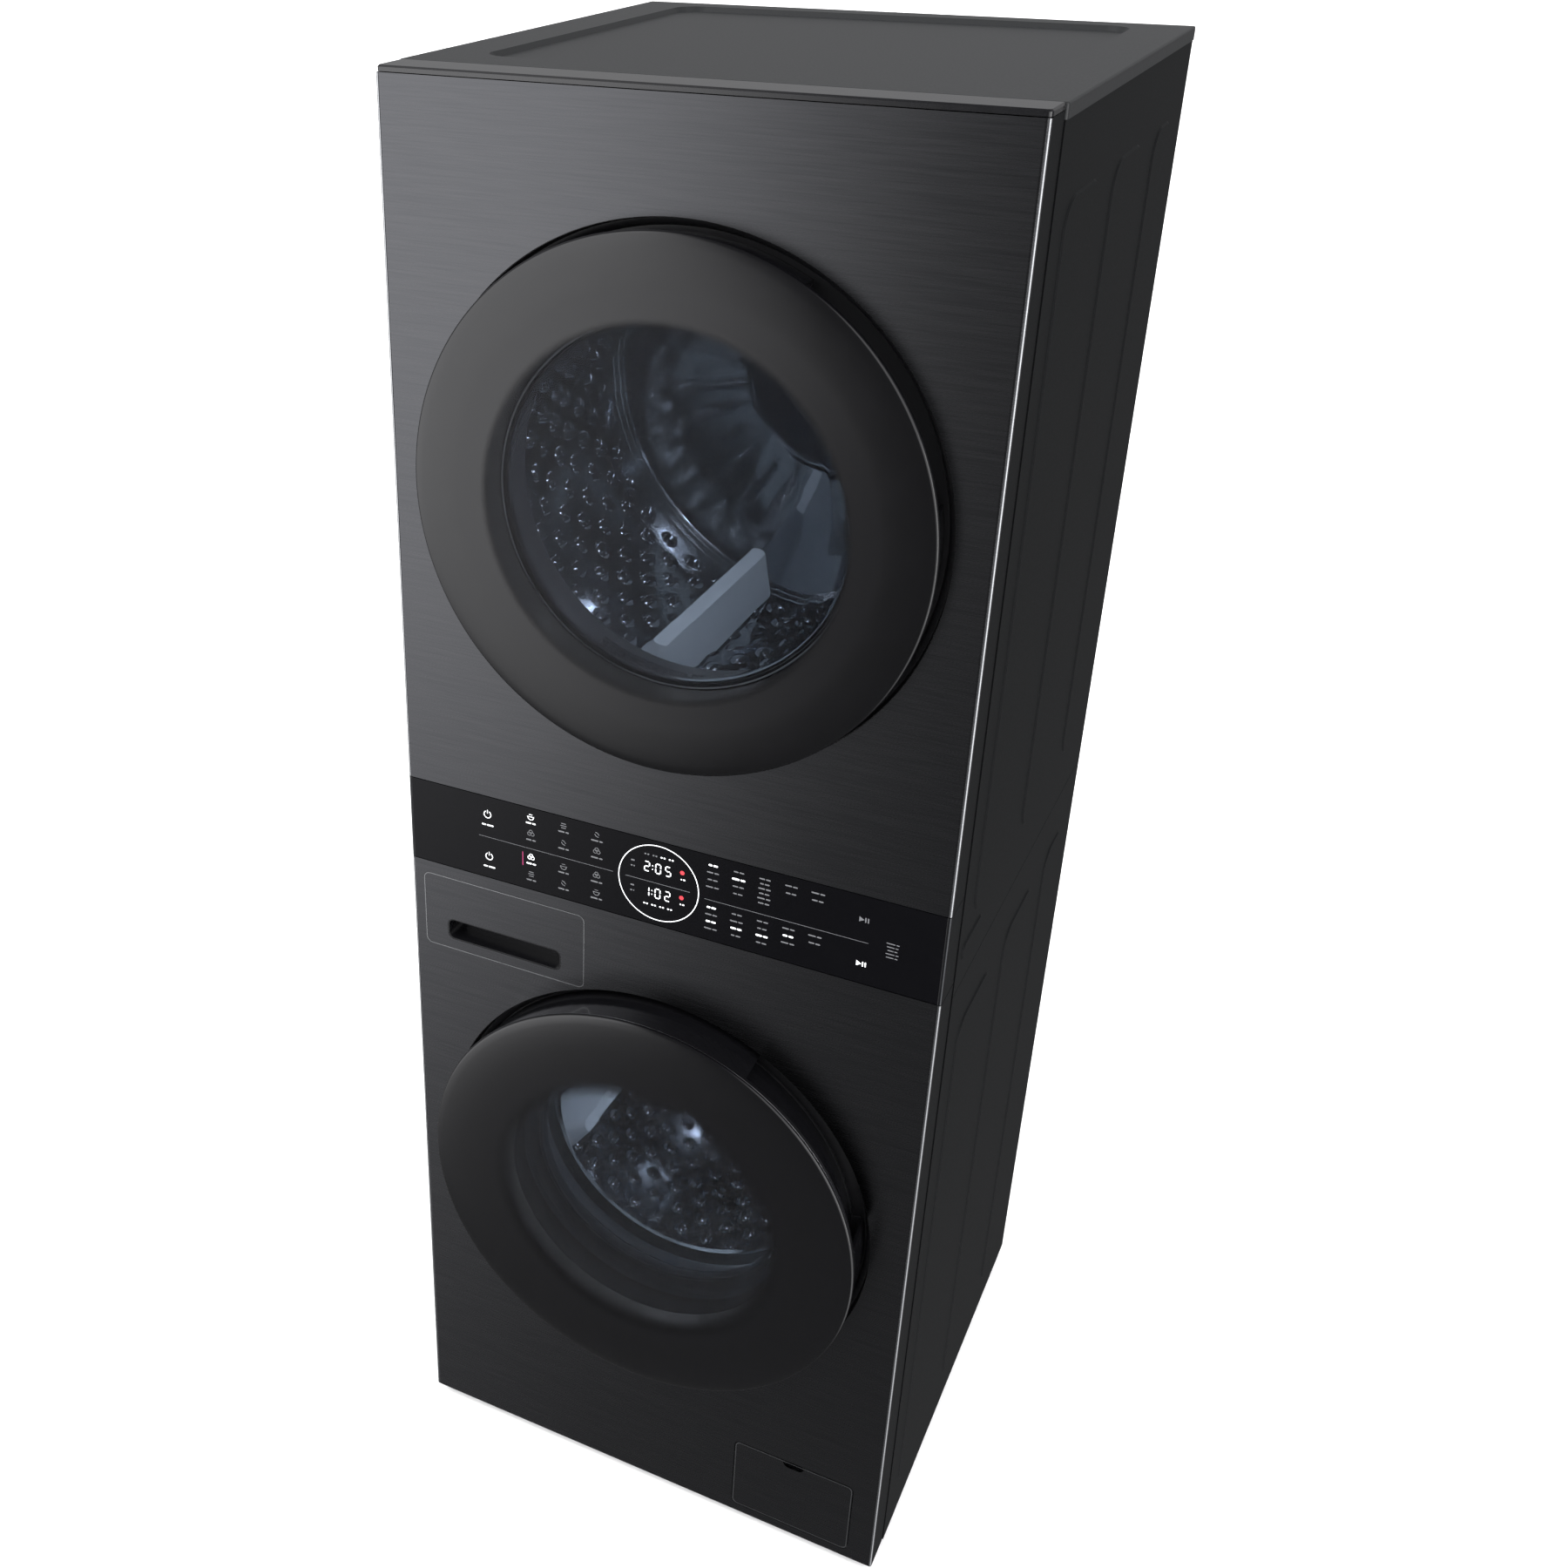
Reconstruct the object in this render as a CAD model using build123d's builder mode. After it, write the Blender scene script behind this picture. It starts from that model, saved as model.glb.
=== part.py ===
from build123d import *
import math
import os

os.makedirs("parts", exist_ok=True)

# A laundry tower: a front-loading washer below, a heat-pump dryer above, one cabinet line.
# X runs to the right of someone facing the front, Y to the back, Z up; the origin is on the floor.

# ---------------------------------------------------------------- driving dimensions, mm
WIDTH = 600.0
HEIGHT = 1655.0
FRONT_Y = -281.0            # face of the front steel
BACK_Y = 310.0              # back of the cabinets
REAR_REACH = 330.0          # end of the rear pipe stubs
SHEET = 1.5
RIB_RAISE = 1.4
SIDE_X = WIDTH / 2 - RIB_RAISE
FRAME_X = 297.5             # half width of the front frame
FRAME_BACK_Y = -238.5
EDGE_R = 4.5
SEAM = 0.8

BASE_Z = 12.0
CABINET_SEAM_Z = 815.0
PANEL_LOW_Z = 833.0
PANEL_TOP_Z = 934.0
STEEL_TOP_Z = 1649.0
SKIRT_Z = 1642.0

WASHER_Z = 482.0            # height of the washer drum's axis
DRYER_Z = 1288.0            # height of the dryer drum's axis
MOUTH_R = 188.0
DISH_FLOOR_Y = -260.0

DRAWER_X = (-283.5, -85.5)
DRAWER_Z = (724.0, 817.8)
FLAP_X = (119.2, 267.4)
FLAP_Z = (23.4, 131.8)
FOOT_PLACES = [(x, y) for x in (-255, 255) for y in (-235, 265)]


# ---------------------------------------------------------------- helpers
def facing(y):
    """Sketch plane that looks forward: its x is X and its y is Z."""
    return Plane(origin=(0, y, 0), x_dir=(1, 0, 0), z_dir=(0, -1, 0))


def section(z, turn=0.0):
    """Half-plane through a drum's axis: its x is the radius and its y is Y."""
    a = math.radians(turn)
    outwards = (math.cos(a), 0, math.sin(a))
    return Plane(origin=(0, 0, z), x_dir=outwards, z_dir=(-math.sin(a), 0, math.cos(a)))


def depth_axis(z):
    """Drum axis at height z, running to the back."""
    return Axis((0, 0, z), (0, 1, 0))


def span(low, high):
    """Centre and length of a stretch."""
    return (low + high) / 2, high - low


def block(x, y, z):
    """Private box between three pairs of limits."""
    (cx, lx), (cy, ly), (cz, lz) = span(*x), span(*y), span(*z)
    return Pos(cx, cy, cz) * Box(lx, ly, lz, mode=Mode.PRIVATE)


def keep(piece, name):
    """Label a finished piece and write it as its own STEP file."""
    piece.part.label = name
    export_step(piece.part, f"parts/{name}.step")


# ---------------------------------------------------------------- base and feet
PAN_Z = BASE_Z + 1.5
PAN_WALL = 30.0
with BuildPart() as base_pan:
    pan_y, pan_depth = span(FRONT_Y + 12, BACK_Y - 4)
    with BuildSketch(Plane.XY.offset(PAN_Z)):
        with Locations((0, pan_y)):
            RectangleRounded(588, pan_depth, 10)
    extrude(amount=PAN_WALL)
    with BuildSketch(Plane.XY.offset(PAN_Z + 3)):
        with Locations((0, pan_y)):
            RectangleRounded(582, pan_depth - 6, 7)
    extrude(amount=PAN_WALL, mode=Mode.SUBTRACT)
    with BuildSketch(Plane.XY.offset(PAN_Z)):
        with Locations(*FOOT_PLACES):
            Circle(12)
    extrude(amount=PAN_WALL)
    with BuildSketch(Plane.XY.offset(PAN_Z)):
        with Locations(*FOOT_PLACES):
            Circle(5.1)
    extrude(amount=PAN_WALL, mode=Mode.SUBTRACT)
keep(base_pan, "base_pan")

with BuildPart() as levelling_feet:
    with BuildSketch(Plane.XY):
        with Locations(*FOOT_PLACES):
            Circle(20)
    extrude(amount=9, taper=12)
    with BuildSketch(Plane.XY.offset(9)):
        with Locations(*FOOT_PLACES):
            Circle(5)
    extrude(amount=PAN_Z + PAN_WALL - 5)
    with BuildSketch(Plane.XY.offset(9)):
        with Locations(*FOOT_PLACES):
            RegularPolygon(9, 6)
    extrude(amount=4)
keep(levelling_feet, "levelling_feet")


# ---------------------------------------------------------------- cabinet sides
RIB_SPANS = [(-196, -70), (-12, 112), (171, 257)]


def side_sheet(name, side, low, high, ribs, small_ribs):
    """Side sheet with raised ribs; side is -1 for the left one and +1 for the right one."""
    with BuildPart() as sheet:
        y_mid, y_len = span(FRAME_BACK_Y + 0.6, BACK_Y)
        z_mid, z_len = span(low, high)
        outside = Plane(origin=(SIDE_X, 0, 0), x_dir=(0, 1, 0), z_dir=(1, 0, 0))
        with BuildSketch(outside):
            with Locations((y_mid, z_mid)):
                Rectangle(y_len, z_len)
        extrude(amount=-SHEET)
        shapes = [(span(*across), span(*ribs), 30) for across in RIB_SPANS]
        shapes += [(span(*across), span(*up), 10) for across, up in small_ribs]
        for (ry, ry_len), (rz, rz_len), corner in shapes:
            with BuildSketch(outside):
                with Locations((ry, rz)):
                    RectangleRounded(ry_len, rz_len, corner)
            extrude(amount=RIB_RAISE, taper=58)
            with BuildSketch(outside.offset(-SHEET)):
                with Locations((ry, rz)):
                    RectangleRounded(ry_len - 6, rz_len - 6, corner - 3)
            extrude(amount=RIB_RAISE, taper=58, mode=Mode.SUBTRACT)
        for z in (low, high - SHEET):
            add(block((SIDE_X - 14, SIDE_X - 0.2), (FRAME_BACK_Y + 8, BACK_Y - 8), (z, z + SHEET)))
        if side < 0:
            mirror(about=Plane.YZ, mode=Mode.REPLACE)
    keep(sheet, name)


for word, side in (("left", -1), ("right", 1)):
    side_sheet(f"washer_side_{word}", side, BASE_Z, CABINET_SEAM_Z - SEAM, (55, 752), [])
    side_sheet(f"dryer_side_{word}", side, CABINET_SEAM_Z, SKIRT_Z - 0.4, (880, 1575),
               [((-223, -153), (846, 868))])


# ---------------------------------------------------------------- back sheets
INLET_PLACES = [(190, 760), (240, 760)]
DRAIN_PLACE = (240, 66)
GLAND_PLACE = (-250, 700)
GLAND_R = 4.5


def back_sheet(name, low, high, cover, cover_size, holes, glands):
    """Back sheet with a raised, vented service cover, pipe holes and cord glands."""
    with BuildPart() as sheet:
        z_mid, z_len = span(low, high)
        outside = Plane(origin=(0, BACK_Y, 0), x_dir=(-1, 0, 0), z_dir=(0, 1, 0))
        with BuildSketch(outside):
            with Locations((0, z_mid)):
                Rectangle(2 * (SIDE_X - SHEET - 0.4), z_len)
        extrude(amount=-SHEET)
        with BuildSketch(outside):
            with Locations((0, cover)):
                RectangleRounded(*cover_size, 40)
        extrude(amount=8, taper=30)
        with BuildSketch(outside.offset(-SHEET)):
            with Locations((0, cover)):
                RectangleRounded(cover_size[0] - 5, cover_size[1] - 5, 38)
        extrude(amount=8, taper=30, mode=Mode.SUBTRACT)
        with BuildSketch(outside.offset(-SHEET)):
            with Locations((0, cover)):
                with GridLocations(34, 22, 5, 5):
                    SlotOverall(24, 6)
        extrude(amount=12, mode=Mode.SUBTRACT)
        for (x, z), radius in holes:
            with BuildSketch(outside.offset(-SHEET)):
                with Locations((-x, z)):
                    Circle(radius)
            extrude(amount=SHEET, mode=Mode.SUBTRACT)
        for x, z in glands:
            with BuildSketch(outside):
                with Locations((-x, z)):
                    Circle(GLAND_R + 6)
            extrude(amount=9, taper=10)
            with BuildSketch(outside.offset(-SHEET)):
                with Locations((-x, z)):
                    Circle(GLAND_R)
            extrude(amount=SHEET + 9, mode=Mode.SUBTRACT)
    keep(sheet, name)


washer_holes = [(place, 14.2) for place in INLET_PLACES] + [(DRAIN_PLACE, 12)]
back_sheet("washer_back_panel", PAN_Z, CABINET_SEAM_Z - 1, 460, (400, 420), washer_holes, [GLAND_PLACE])
back_sheet("dryer_back_panel", CABINET_SEAM_Z + 1, SKIRT_Z - 1, 1290, (440, 400), [], [])


# ---------------------------------------------------------------- shelf between the cabinets, top
with BuildPart() as stacking_shelf:
    shelf_y, shelf_depth = span(FRAME_BACK_Y + 1.5, BACK_Y - 3)
    with BuildSketch(Plane.XY.offset(CABINET_SEAM_Z + 2)):
        with Locations((0, shelf_y)):
            RectangleRounded(564, shelf_depth, 6)
    extrude(amount=14)
    with BuildSketch(Plane.XY.offset(CABINET_SEAM_Z + 5)):
        with Locations((0, shelf_y)):
            RectangleRounded(558, shelf_depth - 6, 4)
    extrude(amount=14, mode=Mode.SUBTRACT)
keep(stacking_shelf, "stacking_shelf")

PAN_RECESS = 5.0
with BuildPart() as top_plate:
    top_y, top_depth = span(FRAME_BACK_Y + 0.6, BACK_Y)
    with BuildSketch(Plane.XY.offset(SKIRT_Z)):
        with Locations((0, top_y)):
            RectangleRounded(WIDTH, top_depth, 3)
    extrude(amount=HEIGHT - SKIRT_Z)
    top_rim = top_plate.edges().group_by(Axis.Z)[-1]
    fillet(top_rim, 2)
    with BuildSketch(Plane.XY.offset(HEIGHT)):
        with Locations((0, 46)):
            RectangleRounded(492, 464, 26)
    extrude(amount=-PAN_RECESS, taper=40, mode=Mode.SUBTRACT)
    with BuildSketch(Plane.XY.offset(SKIRT_Z)):
        with Locations((0, top_y)):
            RectangleRounded(WIDTH - 6, top_depth - 6, 2)
    extrude(amount=HEIGHT - SKIRT_Z - PAN_RECESS - 2.5, mode=Mode.SUBTRACT)
keep(top_plate, "top_plate")

with BuildPart() as top_front_trim:
    trim_y, trim_depth = span(FRONT_Y + 1, FRAME_BACK_Y)
    with BuildSketch(Plane.XY.offset(STEEL_TOP_Z + 0.7)):
        with Locations((0, trim_y)):
            Rectangle(2 * FRAME_X, trim_depth)
        fillet(vertices().group_by(Axis.Y)[0], EDGE_R)
    extrude(amount=HEIGHT - STEEL_TOP_Z - 0.7)
    front_edges = top_front_trim.edges().group_by(Axis.Z)[-1].group_by(Axis.Y)[0]
    chamfer(front_edges, 1.6)
keep(top_front_trim, "top_front_trim")


# ---------------------------------------------------------------- front sheets and control panel
def frame_channel(low, high):
    """Face sheet of the front frame with its two side returns, open at the back."""
    with BuildPart() as channel:
        y_mid, depth = span(FRONT_Y, FRAME_BACK_Y)
        with BuildSketch(Plane.XY.offset(low)):
            with Locations((0, y_mid)):
                Rectangle(2 * FRAME_X, depth)
            fillet(vertices().group_by(Axis.Y)[0], EDGE_R)
            with Locations((0, y_mid + SHEET)):
                Rectangle(2 * (FRAME_X - SHEET), depth, mode=Mode.SUBTRACT)
        extrude(amount=high - low)
    return channel.part


FLAP_AXIS = (FRONT_Y + 3, FLAP_Z[0] + 8.5)      # y and z of the service flap's hinge
FLAP_PIN_R = 1.8
GRIP_X = (-255, -114)
GRIP_Z = (737.5, 764)

with BuildPart() as washer_front_panel:
    add(frame_channel(BASE_Z, PANEL_LOW_Z - 0.6))
    with BuildSketch(facing(FRONT_Y)):
        with Locations((0, WASHER_Z)):
            Circle(256)
        for across, up, corner in ((DRAWER_X, DRAWER_Z, 8), (FLAP_X, FLAP_Z, 8)):
            (cx, lx), (cz, lz) = span(*across), span(*up)
            with Locations((cx, cz)):
                RectangleRounded(lx, lz, corner)
    extrude(amount=-SHEET * 2, mode=Mode.SUBTRACT)
    for low in (FLAP_X[0] - 2.2, FLAP_X[1] + 0.7):
        add(block((low, low + SHEET), (FRONT_Y + SHEET, FRONT_Y + 9), (FLAP_AXIS[1] - 5, FLAP_AXIS[1] + 5)))
    with Locations(Plane(origin=((FLAP_X[0] + FLAP_X[1]) / 2, *FLAP_AXIS), z_dir=(1, 0, 0))):
        Cylinder(FLAP_PIN_R + 0.06, 170, mode=Mode.SUBTRACT)
keep(washer_front_panel, "washer_front_panel")

with BuildPart() as dryer_front_panel:
    add(frame_channel(PANEL_TOP_Z + 0.6, STEEL_TOP_Z))
    with BuildSketch(facing(FRONT_Y)):
        with Locations((0, DRYER_Z)):
            Circle(262)
    extrude(amount=-SHEET * 2, mode=Mode.SUBTRACT)
keep(dryer_front_panel, "dryer_front_panel")

GLASS_X = 293.6
with BuildPart() as control_glass:
    with BuildSketch(facing(FRONT_Y)):
        with Locations((0, (PANEL_LOW_Z + PANEL_TOP_Z) / 2)):
            RectangleRounded(2 * GLASS_X, PANEL_TOP_Z - PANEL_LOW_Z - 0.8, 1.2)
    extrude(amount=-3.4)
keep(control_glass, "control_glass")

with BuildPart() as control_housing:
    add(frame_channel(PANEL_LOW_Z, PANEL_TOP_Z))
    with BuildSketch(facing(FRONT_Y)):
        with Locations((0, (PANEL_LOW_Z + PANEL_TOP_Z) / 2)):
            Rectangle(2 * GLASS_X + 0.4, PANEL_TOP_Z - PANEL_LOW_Z + 1)
    extrude(amount=-3.5, mode=Mode.SUBTRACT)
    add(block((-FRAME_X + SHEET, FRAME_X - SHEET), (FRONT_Y + 3.5, FRONT_Y + 6),
              (PANEL_LOW_Z, PANEL_TOP_Z)))
    for z in (PANEL_LOW_Z, PANEL_TOP_Z - 2.5):
        add(block((-FRAME_X + SHEET, FRAME_X - SHEET), (FRONT_Y + 5, FRAME_BACK_Y - 8), (z, z + 2.5)))
keep(control_housing, "control_housing")


# ---------------------------------------------------------------- dished door frames
LOCK_X = (203, 231)
SLOT_X = (208, 226)


def dish_outline(hole_r):
    """Section of a dish: flange behind the steel, rounded wall, floor and mouth lip."""
    Polyline((hole_r + 12, FRONT_Y + 1.6), (hole_r - 0.6, FRONT_Y + 1.6), (hole_r - 3, -268))
    RadiusArc((hole_r - 3, -268), (hole_r - 11, DISH_FLOOR_Y), 9)
    Polyline((hole_r - 11, DISH_FLOOR_Y), (MOUTH_R, DISH_FLOOR_Y), (MOUTH_R, -249), (MOUTH_R + 3, -249),
             (MOUTH_R + 3, -257), (hole_r - 9, -257))
    RadiusArc((hole_r - 9, -257), (hole_r + 0.6, -267), -11)
    Polyline((hole_r + 0.6, -267), (hole_r + 2, FRONT_Y + 4.1), (hole_r + 12, FRONT_Y + 4.1),
             (hole_r + 12, FRONT_Y + 1.6))


def lock_slot(z):
    """Private box that opens the dish floor for the latch hook."""
    return block(SLOT_X, (DISH_FLOOR_Y - 2, DISH_FLOOR_Y + 5), (z - 8, z + 8))


with BuildPart() as washer_door_frame:
    with BuildSketch(section(WASHER_Z)):
        with BuildLine():
            dish_outline(256)
        make_face()
    revolve(axis=depth_axis(WASHER_Z))
    add(lock_slot(WASHER_Z), mode=Mode.SUBTRACT)
    add(block((DRAWER_X[0] - 2, DRAWER_X[1] + 2), (FRONT_Y, -240), (DRAWER_Z[0] - 0.6, 800)),
        mode=Mode.SUBTRACT)
keep(washer_door_frame, "washer_door_frame")

TUNNEL_END_Y = -214.0
FILTER_X = 95.0
FILTER_Y = (-246.0, -232.0)
FILTER_LOW_Z = 985.0
with BuildPart() as dryer_door_frame:
    with BuildSketch(section(DRYER_Z)):
        with BuildLine():
            dish_outline(262)
        make_face()
        with Locations((MOUTH_R + 1.5, (-250 + TUNNEL_END_Y) / 2)):
            Rectangle(3, TUNNEL_END_Y + 250)
    revolve(axis=depth_axis(DRYER_Z))
    add(lock_slot(DRYER_Z), mode=Mode.SUBTRACT)
    with BuildSketch(facing(FILTER_Y[0] - 4)):
        with Locations((0, (FILTER_LOW_Z + DRYER_Z) / 2 - 4)):
            Rectangle(2 * FILTER_X + 10, DRYER_Z - FILTER_LOW_Z)
        with Locations((0, DRYER_Z)):
            Circle(MOUTH_R + 0.01, mode=Mode.SUBTRACT)
            Rectangle(600, 2 * 90, mode=Mode.SUBTRACT)
    extrude(amount=-(FILTER_Y[1] - FILTER_Y[0] + 8))
    add(block((-FILTER_X - 1, FILTER_X + 1), (FILTER_Y[0] - 1, FILTER_Y[1] + 1), (FILTER_LOW_Z - 1, 1180)),
        mode=Mode.SUBTRACT)
keep(dryer_door_frame, "dryer_door_frame")

with BuildPart() as lint_filter:
    with BuildSketch(facing(FILTER_Y[0])):
        with Locations((0, (FILTER_LOW_Z + 1160) / 2)):
            Rectangle(2 * FILTER_X, 1160 - FILTER_LOW_Z)
        with Locations((0, DRYER_Z)):
            Circle(MOUTH_R - 1, mode=Mode.SUBTRACT)
    extrude(amount=FILTER_Y[0] - FILTER_Y[1])
    for x in (-47, 47):
        with BuildSketch(facing(FILTER_Y[0])):
            with Locations((x, 1035)):
                RectangleRounded(82, 76, 6)
        extrude(amount=FILTER_Y[0] - FILTER_Y[1], mode=Mode.SUBTRACT)
        add(block((x - 42, x + 42), (-239.5, -238.5), (996, 1074)))
keep(lint_filter, "lint_filter")


# ---------------------------------------------------------------- doors
HINGE_X = -236.0
PIN_R = 3.0
RING_BACK_Y = DISH_FLOOR_Y - 4.2
HINGE_POCKET_R = 190.0
FLANGE = 4.0


def door(prefix, z, front_y, rim_r, funnel_r, seat, bowl_points):
    """Six pieces of one door; seat is the radius and depth where the funnel meets the bowl's flange."""
    hinge_y = front_y + 17
    back_r = rim_r - 9
    seat_r, seat_y = seat
    flange_y = seat_y + 0.2

    with BuildPart() as glass:
        with BuildSketch(section(z)):
            with BuildLine():
                Line((0, front_y), (rim_r - 40, front_y))
                TangentArc((rim_r - 40, front_y), (rim_r - 3, front_y + 2.4), tangent=(1, 0))
                Polyline((rim_r - 3, front_y + 2.4), (rim_r - 0.8, front_y + 3.6), (rim_r, front_y + 5.6),
                         (rim_r - 1, front_y + 7), (rim_r - 5, front_y + 7))
                Polyline((rim_r - 5, front_y + 7), (rim_r - 42, front_y + 4.4), (0, front_y + 4.4),
                         (0, front_y))
            make_face()
        revolve(axis=depth_axis(z))
    keep(glass, f"{prefix}_door_glass")

    pocket = block((-262, -HINGE_POCKET_R), (front_y + 8.6, -255), (z - 45, z + 45))
    grip_low, grip_high = 10, 62
    with BuildPart() as ring:
        with BuildSketch(section(z)):
            with BuildLine():
                Polyline((rim_r - 3, front_y + 7.2), (rim_r - 2, front_y + 9), (back_r + 1, RING_BACK_Y - 2),
                         (back_r - 2, RING_BACK_Y - 2), (rim_r - 5.5, front_y + 11),
                         (funnel_r + 3, front_y + 11),
                         (seat_r + 3, seat_y), (seat_r, seat_y), (funnel_r, front_y + 7.2), close=True)
            make_face()
        revolve(axis=depth_axis(z))
        if funnel_r > HINGE_POCKET_R:
            add(block((-funnel_r - 8, 2.5 - HINGE_POCKET_R), (front_y + 7.2, seat_y),
                      (z - 47.5, z + 47.5)))
        with BuildSketch(section(z, grip_high)):
            with Locations((back_r - 1, (front_y + 14 - 262) / 2)):
                Rectangle(30, -262 - front_y - 14)
        revolve(axis=depth_axis(z), revolution_arc=grip_high - grip_low, mode=Mode.SUBTRACT)
        with BuildSketch(section(z, grip_high + 1)):
            with BuildLine():
                Polyline((rim_r - 4, front_y + 10), (rim_r - 4, front_y + 14), (back_r - 13, front_y + 14),
                         (back_r - 13, RING_BACK_Y - 3), (back_r - 16, RING_BACK_Y - 3),
                         (back_r - 16, front_y + 10), close=True)
            make_face()
        revolve(axis=depth_axis(z), revolution_arc=grip_high - grip_low + 2)
        add(pocket, mode=Mode.SUBTRACT)
    keep(ring, f"{prefix}_door_ring")

    with BuildPart() as back_ring:
        with BuildSketch(section(z)):
            with Locations(((174.4 + back_r - 3) / 2, RING_BACK_Y - 1.2)):
                Rectangle(back_r - 3 - 174.4, 2.4)
            neck_y, neck_depth = span(flange_y + FLANGE + 0.2, RING_BACK_Y)
            with Locations((175.9, neck_y)):
                Rectangle(3, neck_depth)
        revolve(axis=depth_axis(z))
        with BuildSketch(section(z, grip_high)):
            with Locations((back_r, RING_BACK_Y)):
                Rectangle(24, 10)
        revolve(axis=depth_axis(z), revolution_arc=grip_high - grip_low, mode=Mode.SUBTRACT)
        add(pocket, mode=Mode.SUBTRACT)
        with BuildSketch(Plane(origin=(206.5, RING_BACK_Y - 2.4, z), x_dir=(1, 0, 0), z_dir=(0, -1, 0))):
            Rectangle(20, 30)
        extrude(amount=6)
    keep(back_ring, f"{prefix}_door_back_ring")

    with BuildPart() as bowl:
        with BuildSketch(section(z)):
            with BuildLine():
                Polyline((189, flange_y), (189, flange_y + FLANGE), (173, flange_y + FLANGE))
                Spline((173, flange_y + FLANGE), *bowl_points)
                middle = bowl_points[-1][1]
                Line(bowl_points[-1], (0, middle - FLANGE))
                inner = [(r - FLANGE, y - FLANGE) for r, y in bowl_points[:-1]]
                Spline((0, middle - FLANGE), *reversed(inner), (168, flange_y))
                Line((168, flange_y), (189, flange_y))
            make_face()
        revolve(axis=depth_axis(z))
    keep(bowl, f"{prefix}_door_bowl")

    with BuildPart() as hinge_arm:
        add(block((-240, -190.4), (front_y + 8.8, front_y + 10.9), (z - 40, z + 40)))
        add(block((HINGE_X - 3, HINGE_X + 5), (front_y + 8.8, hinge_y), (z - 12, z + 12)))
        with BuildSketch(Plane.XY.offset(z - 12)):
            with Locations((HINGE_X, hinge_y)):
                Circle(5)
        extrude(amount=24)
        with BuildSketch(Plane.XY.offset(z - 12)):
            with Locations((HINGE_X, hinge_y)):
                Circle(PIN_R + 0.05)
        extrude(amount=24, mode=Mode.SUBTRACT)
    keep(hinge_arm, f"{prefix}_door_hinge_arm")

    with BuildPart() as latch_hook:
        add(block((211, 216), (RING_BACK_Y, -240), (z - 5, z + 5)))
        add(block((216, 220), (-245, -240), (z - 5, z + 5)))
        hook_tip = latch_hook.edges().filter_by(Axis.Z).group_by(Axis.Y)[-1].sort_by(Axis.X)[-1]
        chamfer(hook_tip, 2)
    keep(latch_hook, f"{prefix}_door_latch_hook")


def hinge_bracket(z, front_y):
    """Fixed gooseneck with two ears and the pin through them, as a private part."""
    hinge_y = front_y + 17
    with BuildPart() as bracket:
        for low in (z - 20, z + 14):
            with BuildSketch(Plane.XY.offset(low)):
                with Locations((HINGE_X, hinge_y)):
                    Circle(5)
                with Locations(((HINGE_X - 194) / 2, hinge_y)):
                    Rectangle(-194 - HINGE_X, 10)
                with Locations((-199, (hinge_y - 5 + DISH_FLOOR_Y - 0.2) / 2)):
                    Rectangle(10, DISH_FLOOR_Y - 0.2 - hinge_y + 5)
            extrude(amount=6)
        add(block((-216, -192), (DISH_FLOOR_Y - 2.6, DISH_FLOOR_Y - 0.1), (z - 38, z + 38)))
        with BuildSketch(Plane.XY.offset(z - 20)):
            with Locations((HINGE_X, hinge_y)):
                Circle(PIN_R)
        extrude(amount=40, mode=Mode.SUBTRACT)
    with BuildPart() as pin:
        with BuildSketch(Plane.XY.offset(z - 21)):
            with Locations((HINGE_X, hinge_y)):
                Circle(PIN_R)
        extrude(amount=42)
    return [bracket.part, pin.part]


WASHER_DOOR_Y = -330.0
DRYER_DOOR_Y = -312.0
washer_bowl_line = [(164, -287), (160, -261), (151, -250), (138, -202), (120, -188), (85, -183.6),
                    (45, -182.3), (0, -182)]
dryer_bowl_line = [(166, -264), (150, -256), (90, -252), (45, -251.2), (0, -251)]
door("washer", WASHER_Z, WASHER_DOOR_Y, 253, 184, (163, -301.2), washer_bowl_line)
door("dryer", DRYER_Z, DRYER_DOOR_Y, 256, 207, (178, -277.2), dryer_bowl_line)

with BuildPart() as hinge_brackets:
    add(hinge_bracket(WASHER_Z, WASHER_DOOR_Y) + hinge_bracket(DRYER_Z, DRYER_DOOR_Y))
keep(hinge_brackets, "hinge_brackets")

with BuildPart() as door_locks:
    for z in (WASHER_Z, DRYER_Z):
        add(block(LOCK_X, (-256.6, -229), (z - 22, z + 22)))
        add(block((SLOT_X[0] - 1, SLOT_X[1] + 1), (-258, -232), (z - 9, z + 9)), mode=Mode.SUBTRACT)
keep(door_locks, "door_locks")


# ---------------------------------------------------------------- detergent drawer
TRAY_X = (-277, -92)
TRAY_Y = (-254.9, -42)
TRAY_Z = (737, 803)
WALL = 2.5
with BuildPart() as drawer_front:
    (cx, lx), (cz, lz) = span(*DRAWER_X), span(*DRAWER_Z)
    with BuildSketch(facing(FRONT_Y)):
        with Locations((cx, cz)):
            RectangleRounded(lx - 1.4, lz - 1.4, 7.4)
    extrude(amount=-3)
    (gx, glx), (gz, glz) = span(*GRIP_X), span(*GRIP_Z)
    with BuildSketch(facing(FRONT_Y + 3)):
        with Locations((gx, gz + 4)):
            RectangleRounded(glx + 6, glz + 14, 11)
    extrude(amount=-23)
    with BuildSketch(facing(FRONT_Y)):
        with Locations((gx, gz)):
            RectangleRounded(glx, glz, 8)
    extrude(amount=-23, mode=Mode.SUBTRACT)
    with BuildSketch(facing(FRONT_Y + 6)):
        with Locations((gx, gz + 4)):
            RectangleRounded(glx, glz + 8, 8)
    extrude(amount=-17, mode=Mode.SUBTRACT)
keep(drawer_front, "drawer_front")

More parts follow.
